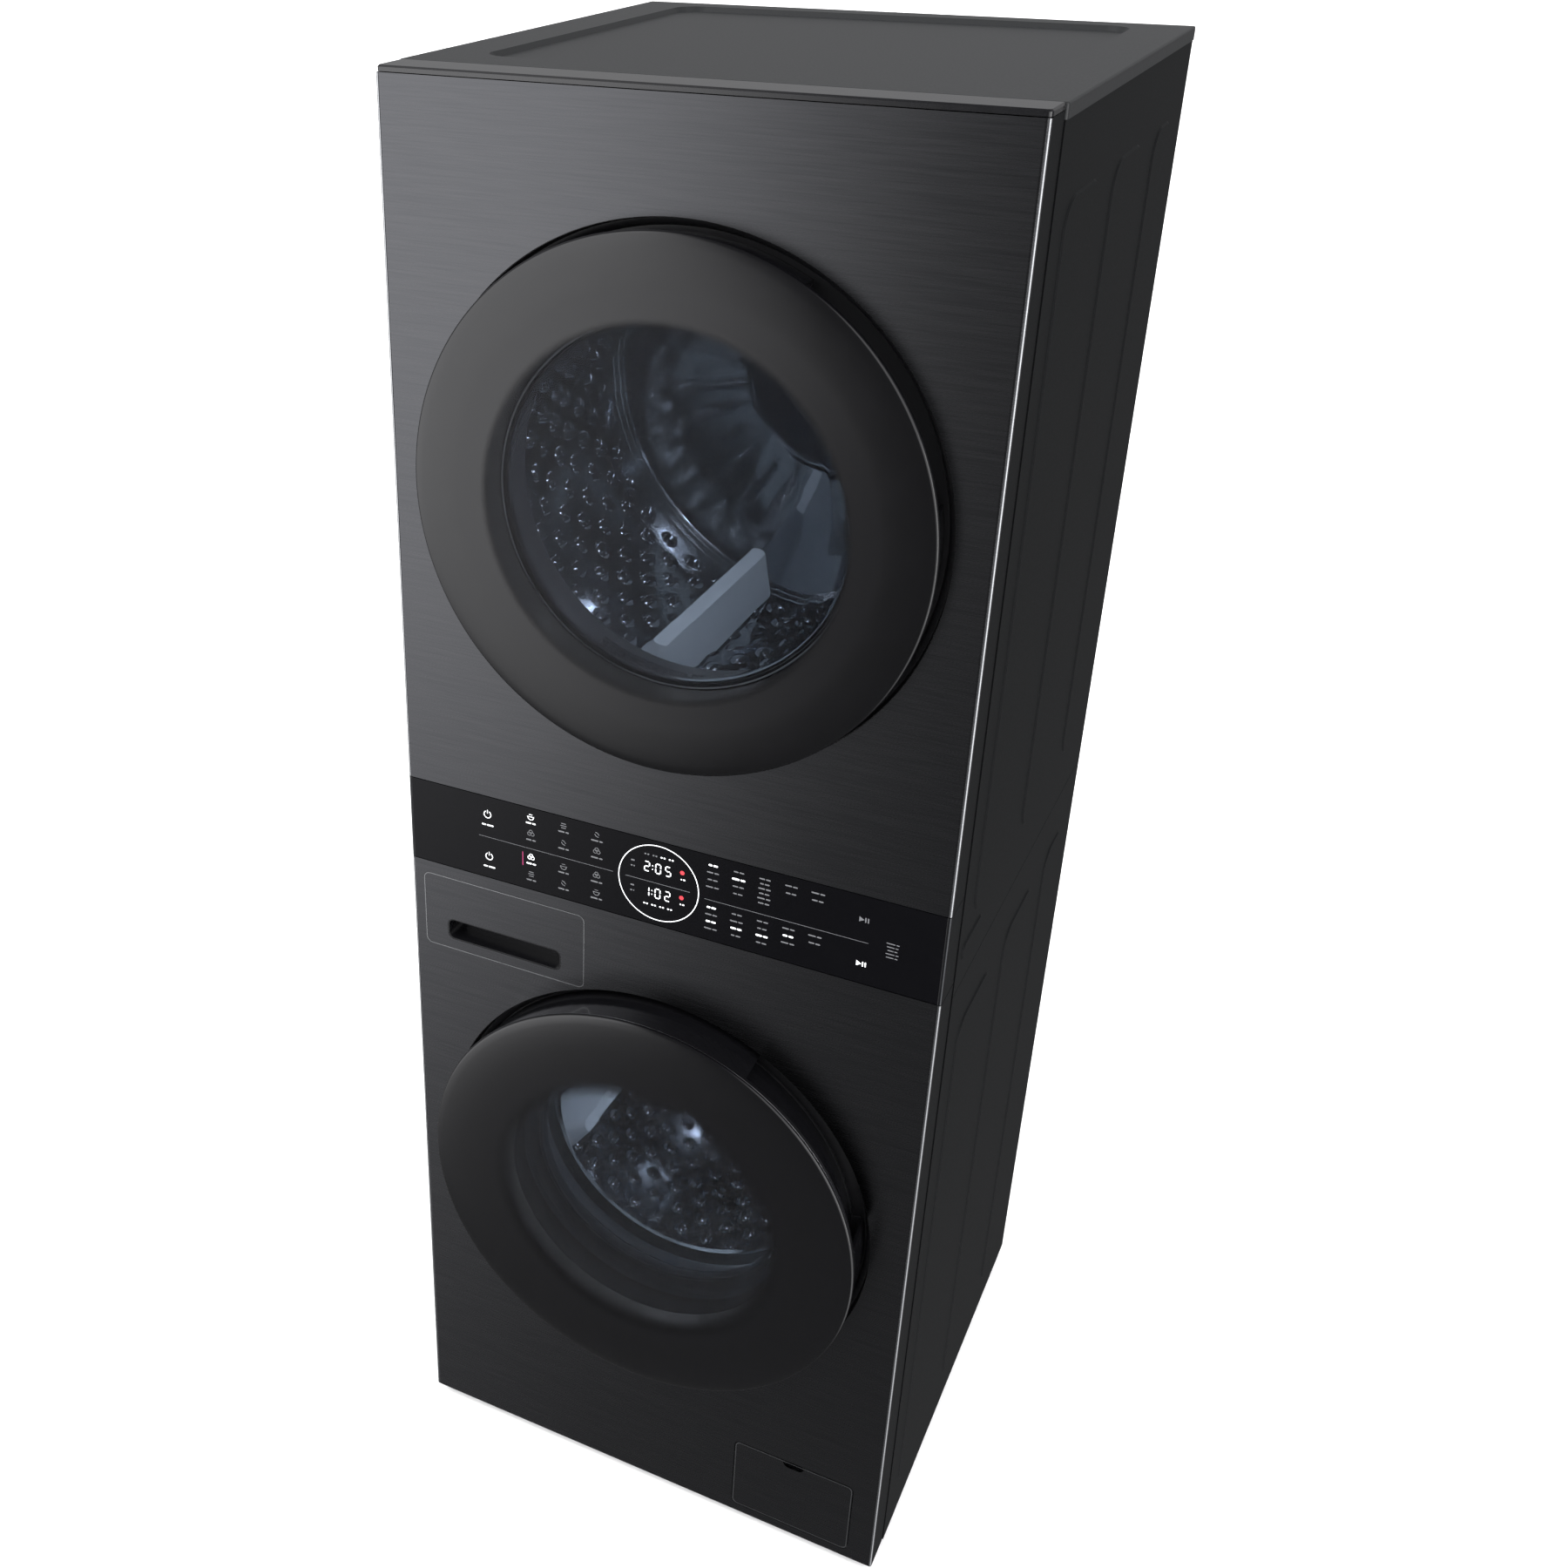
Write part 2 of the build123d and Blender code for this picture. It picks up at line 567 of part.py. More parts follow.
with BuildPart() as drawer_tray:
    add(block(TRAY_X, TRAY_Y, TRAY_Z))
    tray_floor_z = TRAY_Z[0] + WALL
    cells = [((TRAY_X[0] + WALL, -203), (TRAY_Y[0] + WALL, TRAY_Y[1] - WALL)),
             ((-203 + WALL, -150), (TRAY_Y[0] + WALL, -150)),
             ((-203 + WALL, -150), (-150 + WALL, TRAY_Y[1] - WALL)),
             ((-150 + WALL, TRAY_X[1] - WALL), (TRAY_Y[0] + WALL, TRAY_Y[1] - WALL))]
    for across, along in cells:
        add(block(across, along, (tray_floor_z, TRAY_Z[1] + 1)), mode=Mode.SUBTRACT)
keep(drawer_tray, "drawer_tray")

HOUSING_X = (-281, -88)
HOUSING_Z = (731.5, 809)
with BuildPart() as dispenser_housing:
    add(block(HOUSING_X, (-277.5, -32), HOUSING_Z))
    add(block((HOUSING_X[0] + WALL, HOUSING_X[1] - WALL), (-278, -32 - WALL),
              (HOUSING_Z[0] + WALL, HOUSING_Z[1] - WALL)), mode=Mode.SUBTRACT)
    add(block((HOUSING_X[0] - 1, HOUSING_X[1] + 1), (-278, -256),
              (HOUSING_Z[0] - 1, HOUSING_Z[0] + WALL + 1)), mode=Mode.SUBTRACT)
keep(dispenser_housing, "dispenser_housing")


# ---------------------------------------------------------------- service flap, filter and pump
PUMP_PLACE = (205.0, 78.0)
PUMP_BORE_R = 30.0
COLLAR_Y = (BACK_Y + 0.2, BACK_Y + 2)     # ring that seats a pipe stub on the back sheet
pump_axis = Axis((PUMP_PLACE[0], 0, PUMP_PLACE[1]), (0, 1, 0))
with BuildPart() as service_flap:
    (cx, lx), (cz, lz) = span(*FLAP_X), span(*FLAP_Z)
    with BuildSketch(facing(FRONT_Y)):
        with Locations((cx, cz)):
            RectangleRounded(lx - 1.6, lz - 1.6, 7.2)
        with Locations((cx, FLAP_Z[1] - 3)):
            SlotOverall(26, 15, mode=Mode.SUBTRACT)
    extrude(amount=-3)
    for low in (FLAP_X[0] + 1.2, FLAP_X[1] - 7.2):
        add(block((low, low + 6), (FRONT_Y + 2.5, FLAP_AXIS[0] + 2.4),
                  (FLAP_AXIS[1] - 2.4, FLAP_AXIS[1] + 2.4)))
    for low, high in ((FLAP_X[0] - 2.6, FLAP_X[0] + 3), (FLAP_X[1] - 3, FLAP_X[1] + 2.6)):
        with BuildSketch(Plane(origin=(low, *FLAP_AXIS), z_dir=(1, 0, 0))):
            Circle(FLAP_PIN_R)
        extrude(amount=high - low)
keep(service_flap, "service_flap")

with BuildPart() as pump_filter:
    with BuildSketch(facing(-262.2)):
        with Locations(PUMP_PLACE):
            Circle(33)
    extrude(amount=4)
    with BuildSketch(facing(-266.2)):
        with Locations(PUMP_PLACE):
            RectangleRounded(52, 10, 4)
    extrude(amount=7.5)
    with BuildSketch(facing(-262.2)):
        with Locations(PUMP_PLACE):
            Circle(PUMP_BORE_R - 0.05)
    extrude(amount=-10)
    with BuildSketch(facing(-252.2)):
        with Locations(PUMP_PLACE):
            Circle(26)
            Circle(23.5, mode=Mode.SUBTRACT)
    extrude(amount=-50)
    with BuildSketch(facing(-246)):
        with Locations(PUMP_PLACE):
            with PolarLocations(25, 8, start_angle=22.5):
                Rectangle(9, 9)
    extrude(amount=-36, mode=Mode.SUBTRACT)
keep(pump_filter, "pump_filter")

with BuildPart() as drain_pump:
    with BuildSketch(facing(-262)):
        with Locations(PUMP_PLACE):
            Circle(PUMP_BORE_R + 5)
    extrude(amount=-90)
    with BuildSketch(facing(-262)):
        with Locations(PUMP_PLACE):
            Circle(PUMP_BORE_R)
    extrude(amount=-72, mode=Mode.SUBTRACT)
    with BuildSketch(facing(-172)):
        with Locations(PUMP_PLACE):
            RectangleRounded(58, 50, 6)
    extrude(amount=-46)
    for front, back, radius in ((-180, COLLAR_Y[0], 10.5), (*COLLAR_Y, 15), (COLLAR_Y[1], REAR_REACH, 11)):
        with BuildSketch(facing(front)):
            with Locations(DRAIN_PLACE):
                Circle(radius)
        extrude(amount=front - back)
    with BuildSketch(facing(-150)):
        with Locations(DRAIN_PLACE):
            Circle(8.5)
    extrude(amount=-(REAR_REACH + 150), mode=Mode.SUBTRACT)
    with BuildSketch(Plane(origin=(PUMP_PLACE[0] - 34, -215, PUMP_PLACE[1]), z_dir=(-1, 0, 0))):
        Circle(17)
    extrude(amount=120)
    with BuildSketch(Plane.XY.offset(PUMP_PLACE[1])):
        with Locations((PUMP_PLACE[0] - 137, -215)):
            Circle(17)
    extrude(amount=105)
    with BuildSketch(Plane(origin=(PUMP_PLACE[0] - 30, -215, PUMP_PLACE[1]), z_dir=(-1, 0, 0))):
        Circle(14.5)
    extrude(amount=104, mode=Mode.SUBTRACT)
keep(drain_pump, "drain_pump")

THREAD_R = 13.1
with BuildPart() as inlet_valves:
    for x, z in INLET_PLACES:
        steps = [(306, COLLAR_Y[0], 12.6), (*COLLAR_Y, 17), (COLLAR_Y[1], REAR_REACH, THREAD_R)]
        for front, back, radius in steps:
            with BuildSketch(facing(front)):
                with Locations((x, z)):
                    Circle(radius)
            extrude(amount=front - back)
        with BuildSketch(facing(306)):
            with Locations((x, z)):
                Circle(18)
        extrude(amount=6)
        with BuildSketch(facing(300)):
            with Locations((x, z)):
                RectangleRounded(30, 34, 4)
        extrude(amount=46)
        with BuildSketch(facing(REAR_REACH)):
            with Locations((x, z)):
                Circle(9.5)
        extrude(amount=30, mode=Mode.SUBTRACT)
    add(block((INLET_PLACES[0][0], INLET_PLACES[1][0]), (290, 298), (752, 768)))
keep(inlet_valves, "inlet_valves")


# ---------------------------------------------------------------- washer tub and drum
TUB_R = 258.0
DRUM_R = 243.0
SHAFT_R = 15.0


def turned(points, z):
    """Private solid of revolution about a drum's axis from (radius, depth) points."""
    with BuildPart() as solid:
        with BuildSketch(section(z)):
            with BuildLine():
                Polyline(*points, close=True)
            make_face()
        revolve(axis=depth_axis(z))
    return solid.part


with BuildPart() as tub_front:
    add(turned([(182, -216), (178, -216), (178, -200), (TUB_R - 5, -200), (TUB_R - 5, -21),
                (TUB_R + 6, -21), (TUB_R + 6, -27), (TUB_R, -27), (TUB_R, -205), (182, -205)], WASHER_Z))
keep(tub_front, "tub_front")

with BuildPart() as tub_rear:
    add(turned([(TUB_R - 5, -20), (TUB_R + 6, -20), (TUB_R + 6, -14), (TUB_R, -14), (TUB_R, 182), (76, 182),
                (76, 213.8), (62, 213.8), (62, 212), (35, 212), (35, 175), (TUB_R - 5, 175)], WASHER_Z))
    with BuildSketch(facing(205)):
        with Locations((0, WASHER_Z)):
            with PolarLocations(160, 8):
                Rectangle(150, 5)
    extrude(amount=23)
    for side in (-1, 1):
        reach = sorted((side * 222, side * 250))
        add(block(reach, (2, 18), (606, 664)))
        add(block(sorted((side * 110, side * 150)), (10, 26), (232, 262)))
keep(tub_rear, "tub_rear")

with BuildPart() as tub_bearings:
    for front in (180, 198):
        with BuildSketch(facing(front)):
            with Locations((0, WASHER_Z)):
                Circle(34.95)
                Circle(SHAFT_R + 0.05, mode=Mode.SUBTRACT)
        extrude(amount=-12)
keep(tub_bearings, "tub_bearings")

with BuildPart() as door_gasket:
    with BuildSketch(section(WASHER_Z)):
        for r_span, y_span in (((184, 187.6), (-262.6, -217)), ((183, 186), (-218, -206)),
                               ((154, 187), (-240, -236.5)), ((154, 157.5), (-251, -237))):
            (r, width), (y, depth) = span(*r_span), span(*y_span)
            with Locations((r, y)):
                Rectangle(width, depth)
        fillet(vertices().group_by(Axis.Y)[0], 1.2)
    revolve(axis=depth_axis(WASHER_Z))
keep(door_gasket, "door_gasket")

with BuildPart() as counterweights:
    for start in (158, 338):
        with BuildSketch(section(WASHER_Z, start)):
            with Locations((220, -219.5)):
                Rectangle(46, 25)
            fillet(vertices(), 4)
        revolve(axis=depth_axis(WASHER_Z), revolution_arc=136)
keep(counterweights, "counterweights")

with BuildPart() as washer_drum:
    add(turned([(166, -193), (163, -190), (166, -188), (DRUM_R - 6, -188), (DRUM_R - 1.5, -180),
                (DRUM_R - 1.5, 148), (0, 148), (0, 149.5), (DRUM_R, 149.5), (DRUM_R, -182),
                (DRUM_R - 5, -190), (168, -190)], WASHER_Z))
    with BuildSketch(facing(147)):
        with Locations((0, WASHER_Z)):
            for radius, count in ((60, 12), (100, 18), (140, 24), (180, 30), (215, 36)):
                with PolarLocations(radius, count):
                    Circle(4)
    extrude(amount=-4, mode=Mode.SUBTRACT)
keep(washer_drum, "washer_drum")

with BuildPart() as drum_spider:
    with BuildSketch(facing(149.6)):
        with Locations((0, WASHER_Z)):
            Circle(48)
            for turn in (90, 210, 330):
                with PolarLocations(118, 1, start_angle=turn):
                    Rectangle(230, 34)
    extrude(amount=-16)
    with BuildSketch(facing(165)):
        with Locations((0, WASHER_Z)):
            Circle(SHAFT_R)
    extrude(amount=-95)
keep(drum_spider, "drum_spider")


def lifters(z, drum_r, y_span, height, first_turn, name):
    """Three rounded lifters that stand on the inside of a drum's wall, the first at an angle from +X."""
    with BuildPart() as ribs:
        y_mid, length = span(*y_span)
        for turn in (first_turn, first_turn + 120, first_turn + 240):
            a = math.radians(turn)
            inward = (-math.cos(a), 0, -math.sin(a))
            foot = Plane(origin=((drum_r - 1) * math.cos(a), y_mid, z + (drum_r - 1) * math.sin(a)),
                         x_dir=(0, 1, 0), z_dir=inward)
            with BuildSketch(foot.offset(5)):
                RectangleRounded(length, 62, 28)
            with BuildSketch(foot.offset(height)):
                RectangleRounded(length - 60, 16, 7)
            loft()
    keep(ribs, name)


lifters(WASHER_Z, DRUM_R - 1.5, (-165, 125), 62, 90, "washer_lifters")

STATOR_R = 108.0
with BuildPart() as motor_stator:
    with BuildSketch(facing(214)):
        with Locations((0, WASHER_Z)):
            Circle(78)
            Circle(60, mode=Mode.SUBTRACT)
            with PolarLocations(92, 24):
                Rectangle(32, 11)
    extrude(amount=-24)
keep(motor_stator, "motor_stator")

with BuildPart() as motor_rotor:
    add(turned([(SHAFT_R, 258), (SHAFT_R, 240), (24, 240), (24, 242), (STATOR_R + 4, 242),
                (STATOR_R + 4, 212), (124, 212), (124, 246), (24, 246), (24, 258)], WASHER_Z))
    with BuildSketch(facing(241)):
        with Locations((0, WASHER_Z)):
            with PolarLocations(70, 10):
                SlotOverall(50, 18)
    extrude(amount=-6, mode=Mode.SUBTRACT)
keep(motor_rotor, "motor_rotor")

SPRING_R, SPRING_WIRE = 13.0, 2.2
SPRING_Z = (677.0, 785.0)
with BuildPart() as suspension_springs:
    for side in (-1, 1):
        x, y = side * 240, 10
        coil = Helix(9, SPRING_Z[1] - SPRING_Z[0], SPRING_R, mode=Mode.PRIVATE)
        coil_path = Pos(x, y, SPRING_Z[0]) * coil
        with BuildSketch(Plane(origin=coil_path @ 0, z_dir=coil_path % 0)):
            Circle(SPRING_WIRE)
        sweep(path=coil_path)
        for low, high in ((664.2, SPRING_Z[0] + 2), (SPRING_Z[1] - 2, 811)):
            with BuildSketch(Plane.XY.offset(low)):
                with Locations((x + SPRING_R, y)):
                    Circle(SPRING_WIRE)
            extrude(amount=high - low)
keep(suspension_springs, "suspension_springs")

with BuildPart() as dampers:
    for side in (-1, 1):
        low, high = Vector(side * 200, 18, 52), Vector(side * 130, 18, 226)
        lean = (high - low).normalized()
        with BuildSketch(Plane(origin=low, z_dir=lean)):
            Circle(15)
        extrude(amount=110)
        with BuildSketch(Plane(origin=low + lean * 105, z_dir=lean)):
            Circle(6)
        extrude(amount=(high - low).length - 105)
keep(dampers, "dampers")


# ---------------------------------------------------------------- dryer drum, belt and air path
DRYER_R = 275.0
DRYER_FRONT_Y = -212.0
DRYER_BACK_Y = 205.0
AXLE_R = 10.0
with BuildPart() as dryer_drum:
    add(turned([(197, DRYER_FRONT_Y - 4), (195.5, DRYER_FRONT_Y - 4), (195.5, DRYER_FRONT_Y + 1.5),
                (DRYER_R - 1.5, DRYER_FRONT_Y + 1.5), (DRYER_R - 1.5, DRYER_BACK_Y - 1.5),
                (0, DRYER_BACK_Y - 1.5), (0, 252), (AXLE_R, 252), (AXLE_R, DRYER_BACK_Y + 6),
                (42, DRYER_BACK_Y + 6), (48, DRYER_BACK_Y), (DRYER_R, DRYER_BACK_Y),
                (DRYER_R, DRYER_FRONT_Y), (197, DRYER_FRONT_Y)], DRYER_Z))
    with BuildSketch(facing(DRYER_BACK_Y - 4)):
        with Locations((0, DRYER_Z)):
            for radius, count in ((80, 16), (110, 22), (140, 28), (170, 34), (200, 40)):
                with PolarLocations(radius, count):
                    Circle(4)
    extrude(amount=-6, mode=Mode.SUBTRACT)
keep(dryer_drum, "dryer_drum")
lifters(DRYER_Z, DRYER_R - 1.5, (-180, 170), 60, 12, "dryer_lifters")

BLOWER_PLACE = (-165.0, 925.0)
BLOWER_Y = (130.0, 190.0)
with BuildPart() as dryer_rear_bulkhead:
    with BuildSketch(facing(222)):
        with Locations((0, 1300)):
            RectangleRounded(574, 610, 30)
        with Locations((0, DRYER_Z)):
            for radius, count in ((140, 18), (175, 22), (210, 26)):
                with PolarLocations(radius, count):
                    Circle(9, mode=Mode.SUBTRACT)
    extrude(amount=-4)
    with BuildSketch(facing(218)):
        with Locations((0, DRYER_Z)):
            Circle(30)
    extrude(amount=-30)
    with BuildSketch(facing(217)):
        with Locations((0, DRYER_Z)):
            Circle(AXLE_R + 0.05)
    extrude(amount=-36, mode=Mode.SUBTRACT)
    with BuildSketch(facing(226)):
        with Locations((BLOWER_PLACE[0], (BLOWER_PLACE[1] + 1010) / 2)):
            Rectangle(150, 1010 - BLOWER_PLACE[1])
    extrude(amount=4)
    with BuildSketch(facing(BLOWER_Y[0] - 3)):
        with Locations(BLOWER_PLACE):
            Circle(88)
            Circle(50, mode=Mode.SUBTRACT)
    extrude(amount=-3)
    with BuildSketch(facing(BLOWER_Y[0] - 3)):
        with Locations(BLOWER_PLACE):
            Circle(88)
            Circle(85, mode=Mode.SUBTRACT)
            with Locations((0, 60)):
                Rectangle(110, 60, mode=Mode.SUBTRACT)
    extrude(amount=-98)
keep(dryer_rear_bulkhead, "dryer_rear_bulkhead")

with BuildPart() as dryer_motor:
    with BuildSketch(facing(-50)):
        with Locations(BLOWER_PLACE):
            Circle(52)
            Circle(AXLE_R + 3, mode=Mode.SUBTRACT)
    extrude(amount=-140)
    for front in (-50, 80):
        with BuildSketch(facing(front)):
            with Locations(BLOWER_PLACE):
                Circle(20)
                Circle(8.05, mode=Mode.SUBTRACT)
        extrude(amount=-10)
    add(block((BLOWER_PLACE[0] - 50, BLOWER_PLACE[0] + 50), (-40, 80), (CABINET_SEAM_Z + 5.2, 880)))
keep(dryer_motor, "dryer_motor")

PULLEY_R = 16.0
PULLEY_Y = (-112.0, -92.0)
with BuildPart() as motor_shaft:
    with BuildSketch(facing(-116)):
        with Locations(BLOWER_PLACE):
            Circle(8)
    extrude(amount=-(BLOWER_Y[1] + 116))
    with BuildSketch(facing(PULLEY_Y[0])):
        with Locations(BLOWER_PLACE):
            Circle(PULLEY_R)
    extrude(amount=PULLEY_Y[0] - PULLEY_Y[1])
    for y in (PULLEY_Y[0] - 2, PULLEY_Y[1]):
        with BuildSketch(facing(y)):
            with Locations(BLOWER_PLACE):
                Circle(PULLEY_R + 3)
        extrude(amount=-2)
keep(motor_shaft, "motor_shaft")

with BuildPart() as blower_wheel:
    with BuildSketch(facing(BLOWER_Y[1] - 4)):
        with Locations(BLOWER_PLACE):
            Circle(78)
            Circle(8, mode=Mode.SUBTRACT)
    extrude(amount=-3)
    with BuildSketch(facing(BLOWER_Y[0] + 4)):
        with Locations(BLOWER_PLACE):
            with PolarLocations(66, 30):
                Rectangle(20, 2, rotation=35)
    extrude(amount=-(BLOWER_Y[1] - BLOWER_Y[0] - 7))
    with BuildSketch(facing(BLOWER_Y[0] + 4)):
        with Locations(BLOWER_PLACE):
            Circle(78)
            Circle(56, mode=Mode.SUBTRACT)
    extrude(amount=-2)
keep(blower_wheel, "blower_wheel")


def belt_outline(grow):
    """Outline round the drum and the motor pulley, a little larger than both."""
    with BuildSketch(facing(PULLEY_Y[0] + 2)) as outline:
        with Locations((0, DRYER_Z)):
            Circle(DRYER_R + grow)
        with Locations(BLOWER_PLACE):
            Circle(PULLEY_R + grow)
        make_hull()
    return outline.sketch


with BuildPart() as dryer_belt:
    extrude(belt_outline(2.4), amount=-(PULLEY_Y[1] - PULLEY_Y[0] - 4))
    extrude(belt_outline(0.4), amount=-(PULLEY_Y[1] - PULLEY_Y[0] - 4), mode=Mode.SUBTRACT)
keep(dryer_belt, "dryer_belt")

with BuildPart() as heat_exchanger:
    for low, high in ((-150, -10), (10, 110)):
        with BuildSketch(facing(low)):
            with Locations((120, 903)):
                with GridLocations(10, 0, 25, 1):
                    Rectangle(1.2, 122)
            with Locations((120, 840)):
                Rectangle(262, 5)
        extrude(amount=low - high)
        with BuildSketch(Plane(origin=(-10, 0, 0), z_dir=(1, 0, 0), x_dir=(0, 1, 0))):
            with Locations(((low + high) / 2, 905)):
                with GridLocations(30, 36, (high - low) // 36, 3):
                    Circle(5)
        extrude(amount=260)
    add(block((-11, 251), (-11, 11), (837.5, 842.5)))
keep(heat_exchanger, "heat_exchanger")

with BuildPart() as compressor:
    with BuildSketch(Plane.XY.offset(CABINET_SEAM_Z + 8)):
        with Locations((215, 225)):
            Circle(62)
    extrude(amount=6)
    with BuildSketch(Plane.XY.offset(CABINET_SEAM_Z + 14)):
        with Locations((215, 225)):
            Circle(50)
    extrude(amount=130)
    fillet(compressor.edges().group_by(Axis.Z)[-1], 18)
keep(compressor, "compressor")
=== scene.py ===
"""Looks of a laundry tower: a washer below and a heat-pump dryer above, in black brushed steel."""

import logging
import math
from dataclasses import dataclass, field
from enum import Enum
from typing import Any, Callable

import bmesh
import bpy
from mathutils import Euler, Matrix, Vector


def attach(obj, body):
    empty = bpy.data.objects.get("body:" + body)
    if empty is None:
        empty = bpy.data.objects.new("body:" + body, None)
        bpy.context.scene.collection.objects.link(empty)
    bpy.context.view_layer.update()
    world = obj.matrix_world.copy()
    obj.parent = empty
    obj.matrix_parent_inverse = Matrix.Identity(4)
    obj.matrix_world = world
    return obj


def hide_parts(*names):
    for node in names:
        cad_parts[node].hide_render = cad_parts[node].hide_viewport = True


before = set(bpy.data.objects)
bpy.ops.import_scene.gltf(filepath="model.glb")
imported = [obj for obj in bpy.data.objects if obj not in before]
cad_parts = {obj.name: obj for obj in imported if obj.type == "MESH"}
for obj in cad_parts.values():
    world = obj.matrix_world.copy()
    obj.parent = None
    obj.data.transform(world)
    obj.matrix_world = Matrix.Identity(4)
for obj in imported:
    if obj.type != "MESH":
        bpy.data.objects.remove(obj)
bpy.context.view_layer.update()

LOG = logging.getLogger("laundry_tower")
logging.basicConfig(level=logging.INFO, format="%(name)s: %(message)s")

Point = tuple[float, float]
Triple = tuple[float, float, float]
Node = bpy.types.Node
Object = bpy.types.Object

# Heights of the two drums' axes, in millimetres.
WASHER_AXIS = 482.0
DRYER_AXIS = 1288.0

# Roughness and mirror strength of the black print on the back of the door glass.
PRINT_ROUGHNESS = 0.2
PRINT_SPECULAR = 0.42


# ---------------------------------------------------------------- names
class Body(str, Enum):
    """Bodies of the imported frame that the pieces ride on."""

    CABINET = "cabinet"
    WASHER_DRUM = "washer_drum"
    DRYER_DRUM = "dryer_drum"
    WASHER_DOOR = "washer_door"
    DRYER_DOOR = "dryer_door"
    DRAWER = "detergent_drawer"
    FLAP = "service_flap"
    PUMP_FILTER = "pump_filter"
    LINT_FILTER = "lint_filter"


class Slot(str, Enum):
    """Material slots of the imported model."""

    BLACK_STEEL = "black_steel"
    CABINET_PAINT = "cabinet_paint"
    GALVANISED = "galvanised"
    BLACK_GLASS = "black_glass"
    DOOR_GLASS = "door_glass"
    CLEAR_GLASS = "clear_glass"
    DARK_PLASTIC = "dark_plastic"
    LIGHT_PLASTIC = "light_plastic"
    DRUM_STEEL = "drum_steel"
    GREY_RUBBER = "grey_rubber"
    CONCRETE = "concrete"
    CAST_ALUMINIUM = "cast_aluminium"
    PLAIN_STEEL = "plain_steel"


# ---------------------------------------------------------------- units and modelling by hand
def mm(value: float) -> float:
    """Millimetres as metres."""
    return value * 0.001


def place(x: float, y: float, z: float) -> Vector:
    """A place given in millimetres, as a vector in metres."""
    return Vector((x, y, z)) * 0.001


def start(piece: Object) -> None:
    """Open a piece in edit mode with everything in it selected."""
    bpy.context.view_layer.objects.active = piece
    bpy.ops.object.mode_set(mode="EDIT")
    bpy.ops.mesh.select_mode(type="VERT")
    bpy.ops.mesh.select_all(action="SELECT")


def stop() -> None:
    """Leave edit mode."""
    bpy.ops.object.mode_set(mode="OBJECT")


def pick(piece: Object, kind: str, test: Callable[[Any], bool]) -> None:
    """Select, in edit mode, only the parts of a piece that pass a test.

    Args:
        piece: the piece in edit mode.
        kind: VERT, EDGE or FACE.
        test: says whether a part is wanted.
    """
    bpy.ops.mesh.select_mode(type=kind)
    bpy.ops.mesh.select_all(action="DESELECT")
    shape = bmesh.from_edit_mesh(piece.data)
    parts = {"VERT": shape.verts, "EDGE": shape.edges, "FACE": shape.faces}[kind]
    for part in parts:
        part.select = test(part)
    shape.select_flush_mode()
    bmesh.update_edit_mesh(piece.data)


def middle(edge: bmesh.types.BMEdge) -> Vector:
    """Middle of an edge."""
    return (edge.verts[0].co + edge.verts[1].co) / 2


def along(edge: bmesh.types.BMEdge) -> Vector:
    """Direction of an edge."""
    return (edge.verts[1].co - edge.verts[0].co).normalized()


def named(name: str) -> Object:
    """Give the active new object a name and settle its place into its mesh."""
    piece = bpy.context.view_layer.objects.active
    piece.name = name
    piece.data.name = name
    bpy.ops.object.transform_apply(location=True, rotation=True, scale=True)
    return piece


def modify(piece: Object, kind: str, **settings: Any) -> None:
    """Add a modifier to a piece and apply it."""
    alone(piece)
    modifier = piece.modifiers.new(kind.lower(), kind)
    for key, value in settings.items():
        setattr(modifier, key, value)
    bpy.ops.object.modifier_apply(modifier=modifier.name)


def alone(piece: Object) -> None:
    """Make a piece the only selected object and the active one."""
    bpy.ops.object.select_all(action="DESELECT")
    piece.select_set(True)
    bpy.context.view_layer.objects.active = piece


def block(name: str, low: Triple, high: Triple, edge: float = 0.0, segments: int = 2) -> Object:
    """A solid between two corners, with its edges rounded.

    Args:
        name: the piece's name.
        low: lowest corner in millimetres.
        high: highest corner in millimetres.
        edge: radius of the edges in millimetres.
        segments: faces across a rounded edge.

    Returns:
        The piece.
    """
    bpy.ops.object.select_all(action="DESELECT")
    low_corner, high_corner = place(*low), place(*high)
    bpy.ops.mesh.primitive_cube_add(size=1, location=(low_corner + high_corner) / 2)
    bpy.context.object.scale = high_corner - low_corner
    piece = named(name)
    if edge:
        start(piece)
        bpy.ops.mesh.bevel(offset=mm(edge), segments=segments, affect="EDGES")
        stop()
    return piece


def plate(name: str, across: Point, up: Point, front: float, depth: float, corner: float,
          edge: float = 0.0) -> Object:
    """A plate that faces forward, with rounded corners and a softened front edge.

    Args:
        name: the piece's name.
        across: its limits along X in millimetres.
        up: its limits along Z.
        front: place of its front face along Y.
        depth: its thickness.
        corner: radius of its four corners.
        edge: radius of its front edge.

    Returns:
        The piece.
    """
    piece = block(name, (across[0], front, up[0]), (across[1], front + depth, up[1]))
    start(piece)
    pick(piece, "EDGE", lambda edge_: abs(along(edge_).y) > 0.9)
    bpy.ops.mesh.bevel(offset=mm(corner), segments=6, affect="EDGES")
    if edge:
        pick(piece, "EDGE", lambda edge_: (abs(middle(edge_).y - mm(front)) < 1e-6
                                           and abs(along(edge_).y) < 0.1))
        bpy.ops.mesh.bevel(offset=mm(edge), segments=2, affect="EDGES")
    stop()
    return piece


